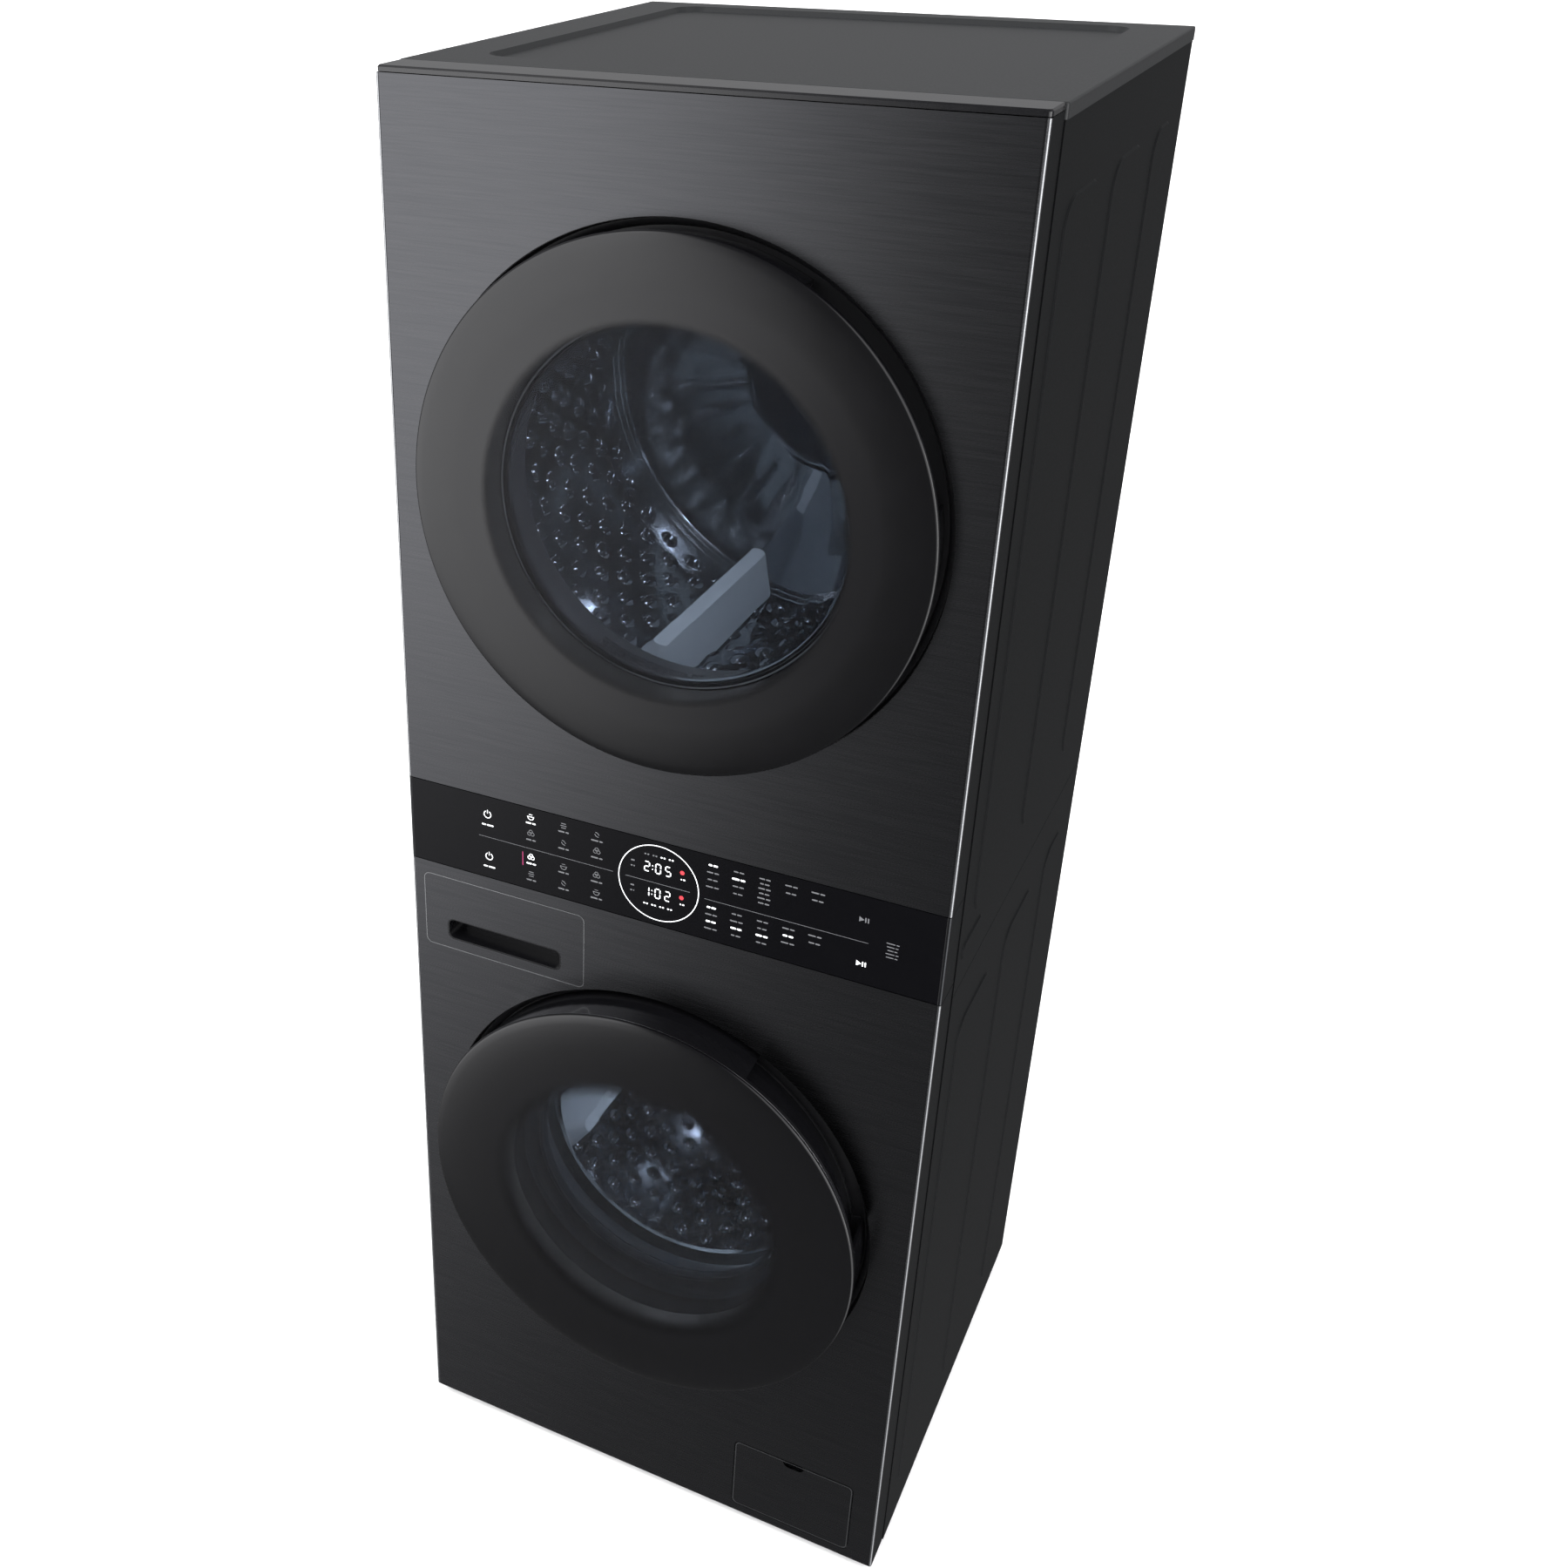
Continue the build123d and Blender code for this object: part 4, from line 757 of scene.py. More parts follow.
# ---------------------------------------------------------------- drums
@dataclass
class Drum:
    """The pressed stainless inside of a drum: dimples on the wall, beads and a pressed back.

    Attributes:
        prefix: washer or dryer.
        body: the body that it rides on.
        height: height of its axis in millimetres.
        radius: inside radius of its wall.
        back: place of its back sheet's inside along Y.
        hub: radius of the raised hub on the back.
        rise: how far the hub stands forward.
    """

    prefix: str
    body: Body
    height: float
    radius: float
    back: float
    hub: float
    rise: float

    def dimple(self, name: str, radius: float, rise: float, sides: int = 12) -> Object:
        """One round dimple on the wall's inside at the right, pressed towards the axis."""
        bpy.ops.object.select_all(action="DESELECT")
        bpy.ops.mesh.primitive_circle_add(vertices=sides, radius=mm(radius), fill_type="NGON",
                                          location=place(self.radius - 0.1, 0, self.height),
                                          rotation=(0, -math.pi / 2, 0))
        piece = named(name)
        start(piece)
        for share, lift in ((0.22, 0.55), (0.3, 0.32), (0.3, 0.13)):
            bpy.ops.mesh.inset(thickness=mm(radius * share))
            bpy.ops.transform.translate(value=place(-rise * lift, 0, 0))
        stop()
        return piece

    def dimples(self, finishes: "Finishes", radius: float, rise: float, around: int,
                rows: list[float]) -> Object:
        """Staggered rows of dimples all round the wall."""
        fields = []
        for index, depth in enumerate(rows):
            row = self.dimple(f"{self.prefix}_dimple_row_{index}", radius, rise)
            start(row)
            bpy.ops.transform.translate(value=place(0, depth, 0))
            half_pitch = math.pi / around * (index % 2)
            bpy.ops.transform.rotate(value=half_pitch, orient_axis="Y",
                                     center_override=place(0, 0, self.height))
            stop()
            ring_of(row, around, self.height)
            fields.append(row)
        piece = joined(f"{self.prefix}_drum_dimples", fields)
        return fit(piece, self.body, finishes.drum_steel)

    def pressed_back(self, finishes: "Finishes") -> Object:
        """Back sheet: two beads, a cone, a flat and the rounded wall of the raised hub."""
        wall, back, face = self.radius - 0.5, self.back - 0.6, self.back - self.rise
        outline = [(wall, back - 46), *arc((wall, back - 38), 2.6, -90, -270, 6), (wall, back - 30),
                   *arc((wall, back - 24), 2.6, -90, -270, 6), (wall, back - 18), (wall - 10, back - 7),
                   (wall - 48, back - 1.4), (wall - 60, back), (self.hub + 14, back),
                   *arc((self.hub + 8, back - 7), 7, 60, 150, 5), (self.hub + 1, face + 5),
                   *arc((self.hub - 4, face + 5), 5, 0, -90, 5), (self.hub - 9, face),
                   (self.hub - 9, face + 1.2),
                   (self.hub - 2, face + 3), (self.hub + 12, back + 0.4), (wall - 56, back + 0.4),
                   (wall + 0.3, back - 16)]
        piece = lathe(f"{self.prefix}_drum_pressed_back", outline, self.height, steps=128)
        return fit(piece, self.body, finishes.drum_steel, crease=40)

    def perforated_hub(self, finishes: "Finishes", pitch: float, hole: float) -> Object:
        """Face of the hub: a sheet full of round holes, each cut at a corner of a fine grid."""
        reach = self.hub - 6
        cells = int(2 * reach / pitch)
        bpy.ops.object.select_all(action="DESELECT")
        bpy.ops.mesh.primitive_grid_add(x_subdivisions=cells, y_subdivisions=cells, size=mm(2 * reach),
                                        location=place(0, self.back - self.rise + 0.6, self.height),
                                        rotation=(math.pi / 2, 0, math.pi))
        piece = named(f"{self.prefix}_drum_perforated_hub")
        axis = place(0, 0, self.height)

        def out(vert: bmesh.types.BMVert) -> float:
            """Distance of a corner from the axis, in millimetres."""
            return 1000 * math.hypot(vert.co.x - axis.x, vert.co.z - axis.z)

        start(piece)
        pick(piece, "VERT", lambda vert: out(vert) > reach)
        bpy.ops.mesh.delete(type="VERT")
        pick(piece, "VERT", lambda vert: out(vert) < reach - pitch and not vert.is_boundary)
        bpy.ops.mesh.bevel(offset=mm(hole), segments=2, affect="VERTICES")
        pick(piece, "FACE", lambda face: face.calc_area() < mm(hole) ** 2 * 3.2)
        bpy.ops.mesh.delete(type="FACE")
        stop()
        modify(piece, "SOLIDIFY", thickness=mm(0.8), offset=0.0)
        return fit(piece, self.body, finishes.drum_steel)


# ---------------------------------------------------------------- control panel
@dataclass
class ControlPanel:
    """Markings and lamps on the black control glass, drawn with generic signs only.

    Attributes:
        face: place of the glass's face along Y in millimetres.
        ink: how far the markings stand proud.
        machines: heights of the dryer's signs and of the washer's.
        programme_x: place of the first column of programme signs.
        programme_pitch: distance between those columns.
        programme_rise: distance between the two rows of a machine's signs.
        option_x: place of the first option column.
        option_pitch: distance between those columns.
        option_rise: distance between the lines of an option column.
    """

    face: float = -281.0
    ink: float = 0.12
    machines: Point = (912.5, 862.5)
    programme_x: float = -149.0
    programme_pitch: float = 38.5
    programme_rise: float = 20.5
    option_x: float = 57.0
    option_pitch: float = 27.5
    option_rise: float = 8.5
    marks: dict[str, list[Object]] = field(default_factory=dict)

    def add(self, tone: str, piece: Object) -> None:
        """Keep a mark with the others of its tone."""
        self.marks.setdefault(tone, []).append(piece)

    def bar(self, tone: str, x: float, z: float, wide: float, high: float) -> None:
        """Rounded bar, centred on a place."""
        half_x, half_z = wide / 2, high / 2
        piece = block("mark", (x - half_x, self.face - self.ink, z - half_z),
                      (x + half_x, self.face + 0.05, z + half_z))
        start(piece)
        pick(piece, "EDGE", lambda edge: abs(along(edge).y) > 0.9)
        bpy.ops.mesh.bevel(offset=mm(min(half_x, half_z) * 0.9), segments=2, affect="EDGES")
        stop()
        self.add(tone, piece)

    def hoop(self, tone: str, x: float, z: float, radius: float, width: float, span: Point = (0.0, 360.0),
             steps: int = 24) -> None:
        """Ring or arc, centred on a place."""
        bpy.ops.object.select_all(action="DESELECT")
        bpy.ops.mesh.primitive_circle_add(vertices=steps, radius=mm(radius), fill_type="NGON",
                                          location=place(x, self.face - self.ink, z),
                                          rotation=(math.pi / 2, 0, 0))
        piece = named("mark")
        start(piece)
        bpy.ops.mesh.inset(thickness=mm(width))
        bpy.ops.mesh.delete(type="FACE")
        centre = place(x, 0, z)

        def beyond(face: bmesh.types.BMFace) -> bool:
            """Whether a face lies outside the arc's span."""
            out = face.calc_center_median() - centre
            return (math.degrees(math.atan2(out.z, out.x)) - span[0]) % 360 > span[1] - span[0]

        pick(piece, "FACE", beyond)
        bpy.ops.mesh.delete(type="FACE")
        bpy.ops.mesh.select_all(action="SELECT")
        depth = place(0, self.ink + 0.05, 0)
        bpy.ops.mesh.extrude_region_move(TRANSFORM_OT_translate={"value": depth})
        bpy.ops.mesh.select_all(action="SELECT")
        bpy.ops.mesh.normals_make_consistent(inside=False)
        stop()
        self.add(tone, piece)

    def shape(self, tone: str, x: float, z: float, radius: float, sides: int, turn: float = 0.0,
              squeeze: float = 1.0) -> None:
        """Filled regular shape, such as a triangle, a drop or a disc."""
        bpy.ops.object.select_all(action="DESELECT")
        bpy.ops.mesh.primitive_cylinder_add(vertices=sides, radius=mm(radius), depth=mm(self.ink + 0.05),
                                            location=place(x, self.face - self.ink / 2 + 0.025, z),
                                            rotation=(math.pi / 2, math.radians(turn), 0))
        piece = named("mark")
        start(piece)
        bpy.ops.mesh.bevel(offset=mm(0.02), segments=1, affect="EDGES")
        bpy.ops.mesh.select_all(action="SELECT")
        bpy.ops.transform.resize(value=(squeeze, 1, 1), center_override=place(x, self.face, z))
        stop()
        self.add(tone, piece)

    def power(self, tone: str, x: float, z: float) -> None:
        """Power sign: a broken ring and a bar."""
        self.hoop(tone, x, z, 4.6, 0.9, (120, 420))
        self.bar(tone, x, z + 3.4, 0.9, 4.6)

    def play(self, tone: str, x: float, z: float) -> None:
        """Start and pause sign."""
        self.shape(tone, x - 2.6, z, 3.4, 3, 90)
        self.bar(tone, x + 2.2, z, 1.3, 5.6)
        self.bar(tone, x + 4.9, z, 1.3, 5.6)

    def garment(self, tone: str, x: float, z: float, kind: int) -> None:
        """Programme sign: a tub of water, a drop, a leaf or a stack of cloth."""
        if kind == 0:
            self.hoop(tone, x, z, 3.8, 0.8, (180, 360), 12)
            self.bar(tone, x, z + 0.4, 8.2, 0.7)
            self.bar(tone, x, z + 3.0, 4.0, 0.7)
        elif kind == 1:
            self.hoop(tone, x - 1.8, z, 2.4, 0.7)
            self.hoop(tone, x + 1.8, z, 2.4, 0.7)
            self.hoop(tone, x, z + 2.6, 2.4, 0.7)
        elif kind == 2:
            self.hoop(tone, x - 1.8, z - 1.8, 5.0, 0.8, (5, 85), 10)
            self.hoop(tone, x + 1.8, z + 1.8, 5.0, 0.8, (185, 265), 10)
        else:
            for level in (-2.6, 0.0, 2.6):
                self.bar(tone, x, z + level, 7.2 - abs(level) * 0.6, 0.9)

    def caption(self, tone: str, x: float, z: float, words: list[float], high: float = 1.7) -> None:
        """A line of short bars that stands where a legend would be printed."""
        total = sum(words) + 1.0 * (len(words) - 1)
        left = x - total / 2
        for word in words:
            self.bar(tone, left + word / 2, z, word, high)
            left += word + 1.0

    def digit(self, tone: str, x: float, z: float, number: int, high: float = 11.0) -> None:
        """Seven-segment figure, centred on a place."""
        lit = {0: "abcdef", 1: "bc", 2: "abged", 5: "afgcd"}[number]
        wide, quarter, thick = high * 0.5, high / 4, high * 0.11
        places = {"a": (0, 2, 1), "g": (0, 0, 1), "d": (0, -2, 1), "f": (-1, 1, 0), "b": (1, 1, 0),
                  "e": (-1, -1, 0), "c": (1, -1, 0)}
        for segment in lit:
            side, level, flat = places[segment]
            size = (wide - thick, thick) if flat else (thick, quarter * 2 - thick)
            self.bar(tone, x + side * wide / 2, z + level * quarter, *size)

    def display(self) -> None:
        """Round display: a thin ring, a time for each machine and its small lamps."""
        x, z = -2.0, 884.0
        self.hoop("white", x, z, 45.0, 0.9, steps=96)
        self.bar("dim", x - 1, z, 72, 0.5)
        for level, figures in ((17.5, (2, 0, 5)), (-12.5, (1, 0, 2))):
            for offset, figure in zip((-14.0, -1.5, 9.5), figures):
                self.digit("white", x + offset + 1, z + level, figure)
            for dot in (-2.2, 2.2):
                self.bar("white", x - 6.8, z + level + dot, 1.3, 1.3)
            self.shape("red", x + 26, z + level + 3.0, 2.5, 12)
            self.caption("white", x + 27, z + level - 5.0, [1.6, 2.4])
            self.caption("dim", x - 29, z + level + 3.0, [4.2])
            self.caption("dim", x - 29, z + level - 3.5, [2.4, 1.2])
        for level in (32.0, -27.5):
            for step in range(4):
                tone = "white" if step > 1 or level < 0 else "dim"
                self.caption(tone, x - 13.5 + 9 * step, z + level, [2.2, 2.2])

    def programmes(self) -> None:
        """Left side: power signs and the two rows of programme signs."""
        for x, z in ((-201, 912), (-200, 860)):
            self.power("white", x, z)
            self.caption("white", x, z - 13, [5, 8])
        self.bar("dim", -132.5, 884, 159, 0.45)
        self.bar("pink", -159, 869.5, 0.8, 17)
        kinds = iter((0, 1, 3, 2, 2, 1, 1, 3, 0, 2, 1, 0))
        for machine in self.machines:
            for column in range(3):
                for row in (0, 1):
                    x = self.programme_x + self.programme_pitch * column
                    z = machine + self.programme_rise * (0.5 - row)
                    tone = "white" if column == row == 0 else "dim"
                    self.garment(tone, x, z, next(kinds))
                    self.caption(tone, x, z - 7.4, [6.5 + column, 4.0])

    def options(self) -> None:
        """Right side: option columns, their levels and the start signs."""
        self.bar("dim", 135, 881.5, 172, 0.45)
        lines = ((4, 4, 6, 2, 2), (4, 4, 4, 3, 2))
        chosen = (((0, 0), (1, 1)), ((0, 0), (0, 2), (1, 2), (2, 2), (3, 1)))
        for machine, counts, lit in zip(self.machines, lines, chosen):
            for column, count in enumerate(counts):
                for line in range(count):
                    tone = "white" if (column, line) in lit else "dim"
                    x = self.option_x + self.option_pitch * column
                    z = machine + self.option_rise * (1.2 - line * 4 / max(count, 4))
                    words = [4.0 + (line * 3 + column) % 5, 5.0]
                    self.caption(tone, x, z, words, 2.1 if tone == "white" else 1.5)
        self.play("dim", 214, 907)
        self.play("white", 215, 856)
        for level in range(5):
            self.caption("dim", 245, 888 - 4 * level, [9.0 - 1.5 * (level % 3), 3.0], 1.0)

    def build(self, finishes: "Finishes") -> None:
        """Draw every mark, then join the marks that share a tone."""
        self.display()
        self.programmes()
        self.options()
        tones = {"white": finishes.white_ink, "dim": finishes.dim_ink, "red": finishes.red_ink,
                 "pink": finishes.pink_ink}
        for tone, pieces in self.marks.items():
            fit(joined(f"control_marks_{tone}", pieces), Body.CABINET, tones[tone])


# ---------------------------------------------------------------- cabinet details
@dataclass
class Cabinet:
    """Small pieces that dress the cabinet: edge strips and outlines with painted highlights, slot liners of
    painted shade and back screws.

    Attributes:
        edge_x: outer face of the front frame along X in millimetres.
        front: face of the steel along Y.
        joints: heights where the front is divided.
    """

    edge_x: float = 297.5
    front: float = -281.0
    joints: tuple[Point, ...] = ((12.2, 832.2), (833.2, 933.8), (934.8, 1648.8))
    back_z: tuple[tuple[str, tuple[float, ...]], ...] = (("washer", (40, 230, 420, 610, 790)),
                                                         ("dryer", (840, 1040, 1240, 1440, 1625)))

    def edge_strips(self, finishes: "Finishes") -> None:
        """Quarter-round down each front corner, one length for each part of the front: light steel on the
        washer's and the dryer's lengths is a painted highlight of the rounded corner, darker steel beside the
        control panel.
        """
        for side, word in ((1, "right"), (-1, "left")):
            for (low, high), part in zip(self.joints, ("washer", "panel", "dryer")):
                xs = sorted((side * (self.edge_x - 2.6), side * (self.edge_x + 0.12)))
                strip = block(f"{part}_edge_strip_{word}", (xs[0], self.front - 0.12, low),
                              (xs[1], self.front + 2.6, high))
                start(strip)
                pick(strip, "EDGE", lambda edge: abs(along(edge).z) > 0.9
                     and middle(edge).x * side > mm(self.edge_x) and middle(edge).y < mm(self.front))
                bpy.ops.mesh.bevel(offset=mm(2.3), segments=6, affect="EDGES")
                stop()
                finish = finishes.dark_edge if part == "panel" else finishes.cut_edge
                fit(strip, Body.CABINET, finish)

    def return_skins(self, finishes: "Finishes") -> None:
        """Thin painted skins on the sides of the front, behind its edge strips."""
        for side, word in ((1, "right"), (-1, "left")):
            for (low, high), part in zip(self.joints, ("washer", "panel", "dryer")):
                xs = sorted((side * (self.edge_x - 0.05), side * (self.edge_x + 0.2)))
                skin = block(f"{part}_return_skin_{word}", (xs[0], self.front + 3.4, low),
                             (xs[1], self.front + 41.6, high), 0.1, 1)
                fit(skin, Body.CABINET, finishes.cabinet_paint)

    def liner(self, name: str, low: Triple, high: Triple, corner: float) -> Object:
        """Open-fronted tray with rounded corners that lines a recess."""
        tray = plate(name, (low[0], high[0]), (low[2], high[2]), low[1], high[1] - low[1], corner)
        start(tray)
        pick(tray, "FACE", lambda face: face.normal.y < -0.9)
        bpy.ops.mesh.delete(type="FACE")
        stop()
        modify(tray, "SOLIDIFY", thickness=mm(0.9), offset=-1.0)
        return tray

    def outline(self, name: str, body: Body, across: Point, up: Point, corner: float,
                finish: bpy.types.Material) -> Object:
        """Narrow bright edge round a panel that is let into the front: a painted highlight of its rounded
        edge.

        Args:
            name: the piece's name.
            body: the body that it rides on.
            across: the panel's limits along X in millimetres.
            up: its limits along Z.
            corner: radius of its corners.
            finish: the edge's material.

        Returns:
            The piece.
        """
        piece = plate(name, across, up, self.front - 0.2, 1.0, corner)
        start(piece)
        pick(piece, "FACE", lambda face: face.normal.y > -0.9)
        bpy.ops.mesh.delete(type="FACE")
        bpy.ops.mesh.select_all(action="SELECT")
        bpy.ops.mesh.inset(thickness=mm(0.8))
        bpy.ops.mesh.delete(type="FACE")
        stop()
        modify(piece, "SOLIDIFY", thickness=mm(0.3), offset=0.0)
        return fit(piece, body, finish)

    def liners(self, finishes: "Finishes") -> None:
        """Black trays in the drawer's grip slot and behind the flap's finger notch: their black is painted
        shade for the depth of these recesses.
        """
        grip = self.liner("drawer_grip_shade_liner", (-254.6, -280.7, 737.9), (-114.4, -259.4, 763.6), 7.6)
        fit(grip, Body.DRAWER, finishes.gloss_plastic)
        cup = self.liner("service_flap_shade_cup", (180.6, -278.2, 119.0), (206.0, -269.5, 130.6), 4.0)
        fit(cup, Body.FLAP, finishes.gloss_plastic)

    def screw(self, name: str, x: float, y: float, z: float) -> Object:
        """Pan-head screw with a round recess, facing back."""
        bpy.ops.object.select_all(action="DESELECT")
        bpy.ops.mesh.primitive_cylinder_add(vertices=20, radius=mm(4.6), depth=mm(2.6),
                                            location=place(x, y, z), rotation=(-math.pi / 2, 0, 0))
        piece = named(name)
        start(piece)
        pick(piece, "FACE", lambda face: face.normal.y > 0.9)
        bpy.ops.mesh.inset(thickness=mm(1.0))
        bpy.ops.transform.translate(value=place(0, 0.7, 0))
        bpy.ops.mesh.inset(thickness=mm(1.5))
        bpy.ops.mesh.extrude_region_move(TRANSFORM_OT_translate={"value": place(0, -1.3, 0)})
        stop()
        return piece

    def back_screws(self, finishes: "Finishes") -> None:
        """Screws round both back sheets."""
        for part, levels in self.back_z:
            heads = [self.screw("screw", side * 286, 311.2, level) for side in (-1, 1) for level in levels]
            heads += [self.screw("screw", x, 311.2, levels[end]) for x in (-140, 0, 140) for end in (0, -1)]
            fit(joined(f"{part}_back_screws", heads), Body.CABINET, finishes.plain_steel)

    def filter_grille(self, finishes: "Finishes") -> Object:
        """Lattice on top of the lint filter, in the floor of the dryer's mouth."""
        profile = [(186.4, -245.6), (186.4, -239.0), (186.4, -232.4)]
        strip = lathe("lint_filter_lattice", profile, DRYER_AXIS, False, 22, (242.0, 298.0))
        start(strip)
        bpy.ops.mesh.poke()
        stop()
        modify(strip, "WIREFRAME", thickness=mm(1.3))
        return fit(strip, Body.LINT_FILTER, finishes.dark_plastic)

    def build(self, finishes: "Finishes") -> None:
        """Build every detail of the cabinet."""
        self.edge_strips(finishes)
        self.return_skins(finishes)
        self.liners(finishes)
        # Light steel outlines round the drawer and the flap: painted highlights.
        bright = finishes.cut_edge
        self.outline("drawer_front_edge", Body.DRAWER, (-283.3, -85.7), (724.2, 817.6), 7.8, bright)
        self.outline("service_flap_edge", Body.FLAP, (120.9, 265.7), (25.1, 130.1), 6.3, bright)
        self.back_screws(finishes)
        self.filter_grille(finishes)


# ---------------------------------------------------------------- studio
@dataclass(frozen=True)
class Softbox:
    """One large area light that faces a place on the tower.

    Attributes:
        name: the light's name.
        where: its place in metres.
        aim: the place that it faces.
        size: its width and height in metres.
        power: its power in watts.
        colour: sRGB hex of its light.
    """

    name: str
    where: Triple
    aim: Triple
    size: Point
    power: float
    colour: str = "#ffffff"

    def build(self) -> Object:
        """Add the light."""
        lamp = bpy.data.lights.new(self.name, "AREA")
        lamp.shape = "RECTANGLE"
        lamp.size, lamp.size_y = self.size
        lamp.energy = self.power
        lamp.color = linear(self.colour)[:3]
        light = bpy.data.objects.new(self.name, lamp)
        bpy.context.scene.collection.objects.link(light)
        light.location = self.where
        light.rotation_euler = (Vector(self.aim) - Vector(self.where)).to_track_quat("-Z", "Y").to_euler()
        return light


@dataclass(frozen=True)
class Studio:
    """Pale floor, soft lights and the camera.

    Attributes:
        eye: the camera's place in metres.
        heading: its turn to the left of +Y in degrees.
        tilt: its tilt below the horizon.
        roll: its roll.
        lens: focal length in millimetres on a 36 mm sensor.
        shift: its lens shift as shares of the frame.
        room: brightness of the room.
        glow: brightness of the glow at its middle.
        wall: brightness of the wall behind the tower.
        edge: brightness of the strip that the right-hand edges mirror.
        glow_fades: for each axis, the direction where the glow ends and where it is full.
        wall_fades: the same for the wall.
        edge_fades: the same for the strip.
    """

    eye: Triple = (0.5994, -1.6658, 1.8634)
    heading: float = 28.087
    tilt: float = 28.138
    roll: float = 0.455
    lens: float = 40.28
    shift: Point = (0.1569, -0.0321)
    room: float = 0.21
    glow: float = 3.3
    wall: float = 0.16
    edge: float = 2.2
    glow_fades: dict[str, Point] = field(default_factory=lambda: {"X": (-0.24, -0.48), "Y": (0.1, -0.6),
                                                                  "Z": (-0.76, -0.24)})
    wall_fades: dict[str, Point] = field(default_factory=lambda: {"Y": (0.0, 0.5), "Z": (-0.05, 0.1)})
    edge_fades: dict[str, Point] = field(default_factory=lambda: {"X": (0.35, 0.65), "Y": (0.25, -0.1)})

    def daylight(self) -> None:
        """Broad, even light from above."""
        lamp = bpy.data.lights.new("overhead_light", "SUN")
        lamp.energy = 5.2
        lamp.angle = math.radians(110)
        light = bpy.data.objects.new("overhead_light", lamp)
        bpy.context.scene.collection.objects.link(light)
        light.rotation_euler = Euler((math.radians(12), math.radians(-8), 0))
        light.visible_glossy = False

    def floor(self) -> None:
        """Plain pale floor, seen by the camera but kept out of mirror reflections."""
        bpy.ops.object.select_all(action="DESELECT")
        bpy.ops.mesh.primitive_plane_add(size=160.0, location=(0, 0, 0))
        sheet = named("studio_floor")
        paint = Finish("studio_floor_paint", "#f7f7f7", "#f3f3f3", 0.7, 0.02, (40.0, 40.0, 40.0), 0.0,
                       specular=0.1)
        sheet.data.materials.append(paint.material())
        sheet.visible_glossy = False

    def surroundings(self) -> None:
        """Dim room with a broad soft glow to the front left, a wall behind and a strip to the right."""
        world = bpy.data.worlds.new("studio_surroundings")
        bpy.context.scene.world = world
        world.use_nodes = True
        tree = world.node_tree
        where = add_node(tree, "ShaderNodeTexCoord")
        parts = add_node(tree, "ShaderNodeSeparateXYZ", {0: where.outputs["Generated"]})
        glow = self.product_of_fades(tree, parts, self.glow_fades)
        wall = self.product_of_fades(tree, parts, self.wall_fades)
        level = add_node(tree, "ShaderNodeMapRange", {"Value": glow, "To Min": self.room,
                                                      "To Max": self.glow})
        lifted = add_node(tree, "ShaderNodeMath", {0: wall, 1: self.wall, 2: level.outputs[0]},
                          operation="MULTIPLY_ADD")
        edge = self.product_of_fades(tree, parts, self.edge_fades)
        lifted = add_node(tree, "ShaderNodeMath", {0: edge, 1: self.edge, 2: lifted.outputs[0]},
                          operation="MULTIPLY_ADD")
        background = tree.nodes["Background"]
        background.inputs["Color"].default_value = linear("#f4f4f6")
        tree.links.new(lifted.outputs[0], background.inputs["Strength"])

    @staticmethod
    def product_of_fades(tree: bpy.types.NodeTree, parts: Node,
                         fades: dict[str, Point]) -> bpy.types.NodeSocket:
        """One soft patch of the surroundings: the product of a fade along each axis it names."""
        patch = None
        for axis, (dark, bright) in fades.items():
            fade = add_node(tree, "ShaderNodeMapRange", {"Value": parts.outputs[axis], "From Min": dark,
                                                         "From Max": bright}, interpolation_type="SMOOTHSTEP")
            if patch is None:
                patch = fade.outputs[0]
            else:
                patch = add_node(tree, "ShaderNodeMath", {0: patch, 1: fade.outputs[0]},
                                 operation="MULTIPLY").outputs[0]
        return patch

    def camera(self) -> None:
        """Camera at eye level of a standing person, looking down at the tower from its right."""
        lens = bpy.data.cameras.new("studio_camera")
        lens.sensor_width = 36.0
        lens.lens = self.lens
        lens.shift_x, lens.shift_y = self.shift
        lens.clip_start, lens.clip_end = 0.05, 400.0
        camera = bpy.data.objects.new("studio_camera", lens)
        bpy.context.scene.collection.objects.link(camera)
        camera.location = self.eye
        look = Euler((math.radians(90 - self.tilt), 0, math.radians(self.heading)), "XYZ").to_matrix()
        camera.rotation_euler = (look @ Matrix.Rotation(math.radians(-self.roll), 3, "Z")).to_euler()
        bpy.context.scene.camera = camera

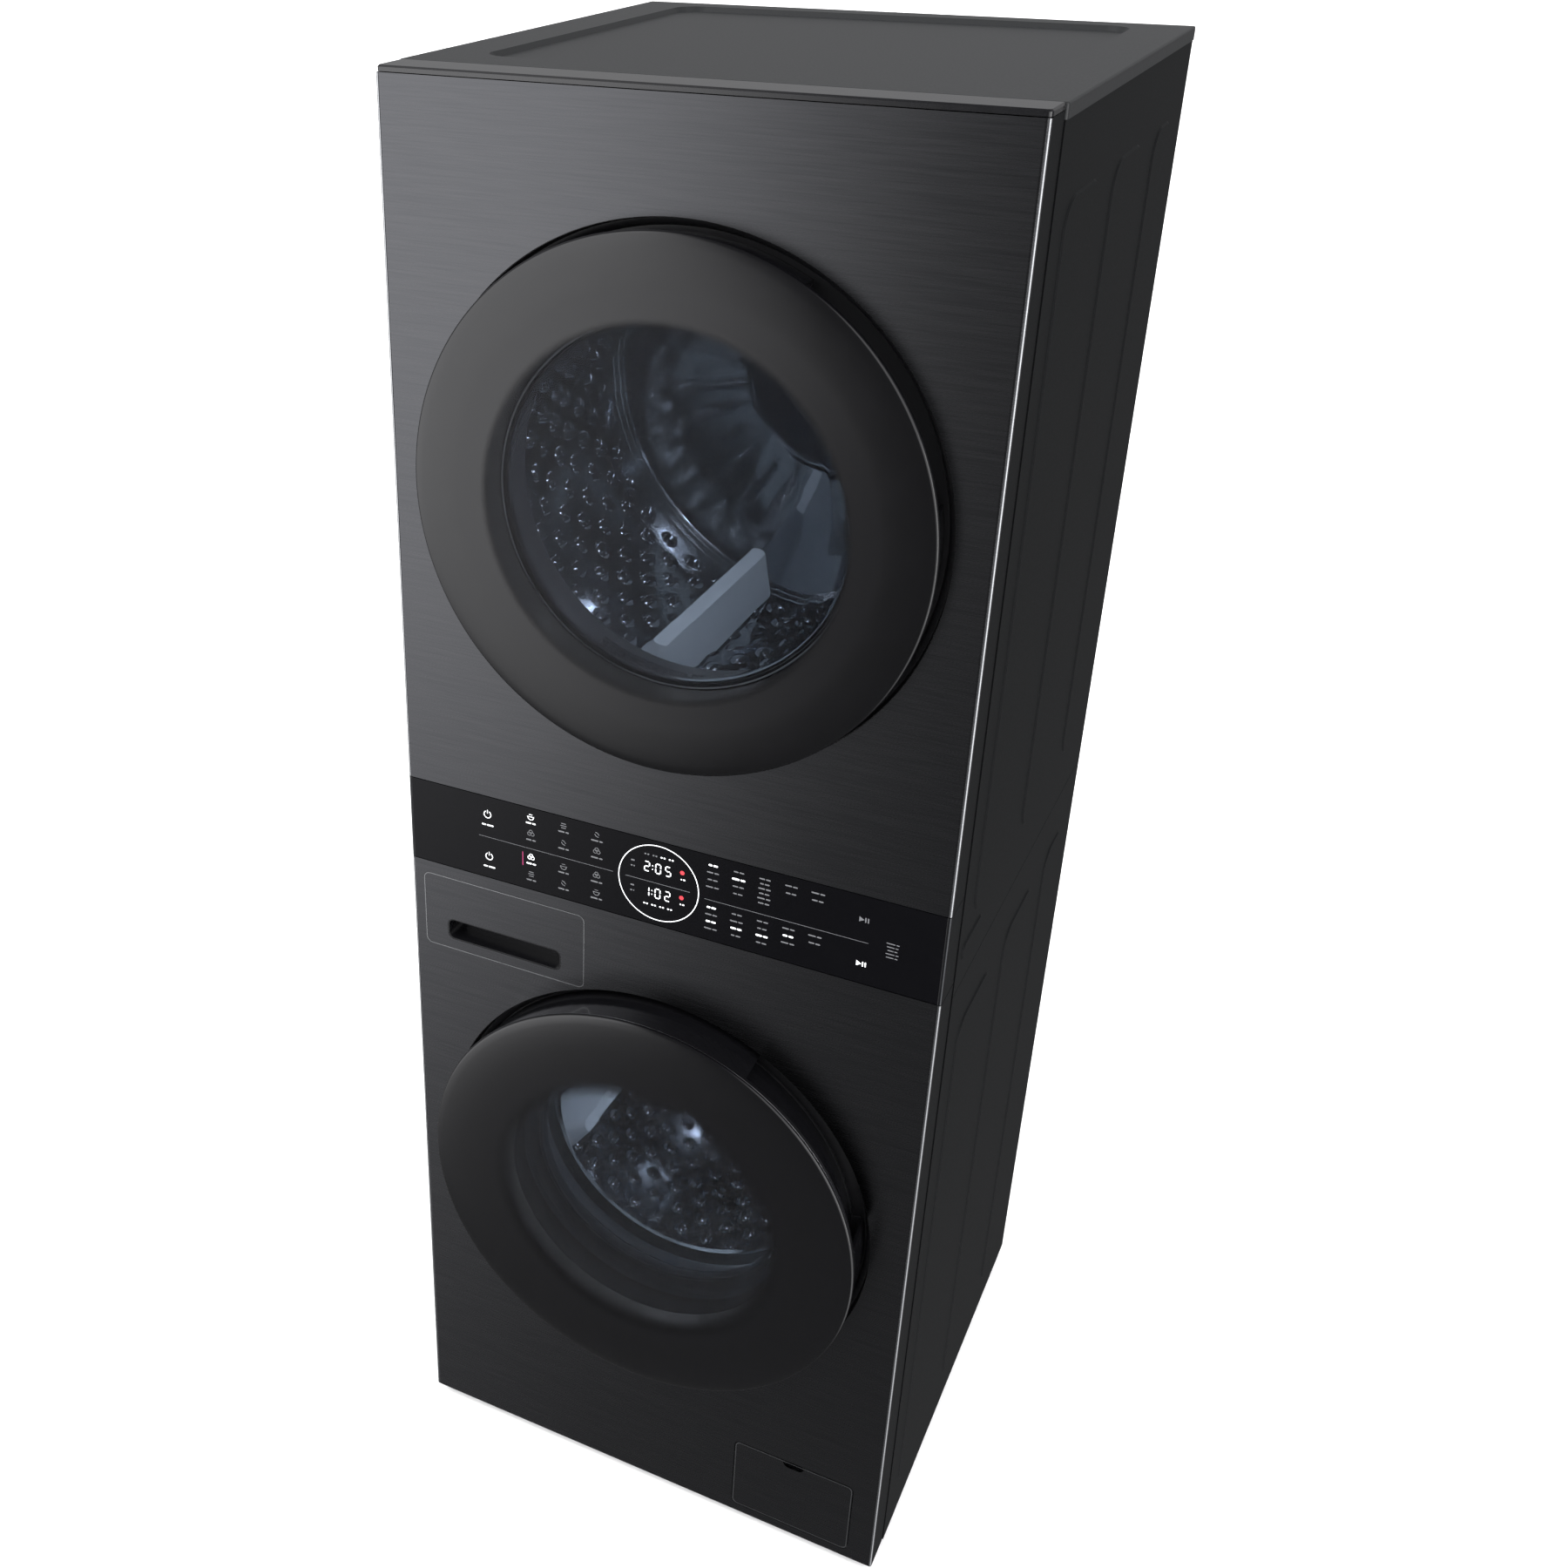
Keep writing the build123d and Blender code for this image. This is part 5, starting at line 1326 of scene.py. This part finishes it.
    def build(self) -> None:
        """Set up the whole studio."""
        self.floor()
        self.surroundings()
        self.camera()
        self.daylight()
        for box in (Softbox("right_strip", (2.6, -1.0, 0.7), (0.3, -0.1, 0.8), (0.5, 2.6), 22),
                    Softbox("washer_drum_lamp", (0.08, -0.15, 0.655), (-0.04, 0.05, 0.35), (0.10, 0.012), 4.0,
                            "#edf2ff"),
                    Softbox("dryer_drum_lamp", (0.10, -0.2, 1.47), (-0.10, 0.02, 1.1), (0.14, 0.012), 7.0,
                            "#edf2ff"),
                    Softbox("dryer_rear_lamp", (-0.17, 0.1, 1.45), (0.1, 0.18, 1.3), (0.05, 0.01), 1.6,
                            "#edf2ff")):
            box.build()
        bpy.context.scene.view_settings.view_transform = "Standard"


def main() -> None:
    """Build the studio and every piece in order."""
    Studio().build()
    finishes = Finishes()
    finishes.dress_nodes()
    washer_bowl = [(166, -291), (163, -280), (160, -262), (155, -251), (149, -232), (143, -212), (137, -200),
                   (128, -191.5), (112, -186.6), (80, -183.6), (40, -182.3), (0, -182)]
    dryer_bowl = [(175, -271), (171, -266), (163, -260), (150, -256), (120, -253), (70, -251.4), (0, -251)]
    Door("washer", Body.WASHER_DOOR, WASHER_AXIS, -330.0, 253.0, 184.0, -301.0, washer_bowl).build(
        finishes, finishes.lower_pane)
    Door("dryer", Body.DRYER_DOOR, DRYER_AXIS, -312.0, 256.0, 207.0, -277.0, dryer_bowl).build(
        finishes, finishes.upper_pane)
    Gasket(WASHER_AXIS).build(finishes)
    washer_drum = Drum("washer", Body.WASHER_DRUM, WASHER_AXIS, 241.5, 148.0, 70.0, 14.0)
    washer_drum.dimples(finishes, 11.0, 4.5, 44, [-150 + 28 * row for row in range(9)])
    washer_drum.pressed_back(finishes)
    washer_drum.perforated_hub(finishes, 11.0, 2.2)
    dryer_drum = Drum("dryer", Body.DRYER_DRUM, DRYER_AXIS, 273.5, 203.5, 104.0, 22.0)
    dryer_drum.dimples(finishes, 12.5, 5.0, 44, [-178 + 31 * row for row in range(11)])
    dryer_drum.pressed_back(finishes)
    dryer_drum.perforated_hub(finishes, 9.0, 2.0)
    ControlPanel().build(finishes)
    Cabinet().build(finishes)


if __name__ == "__main__":
    main()
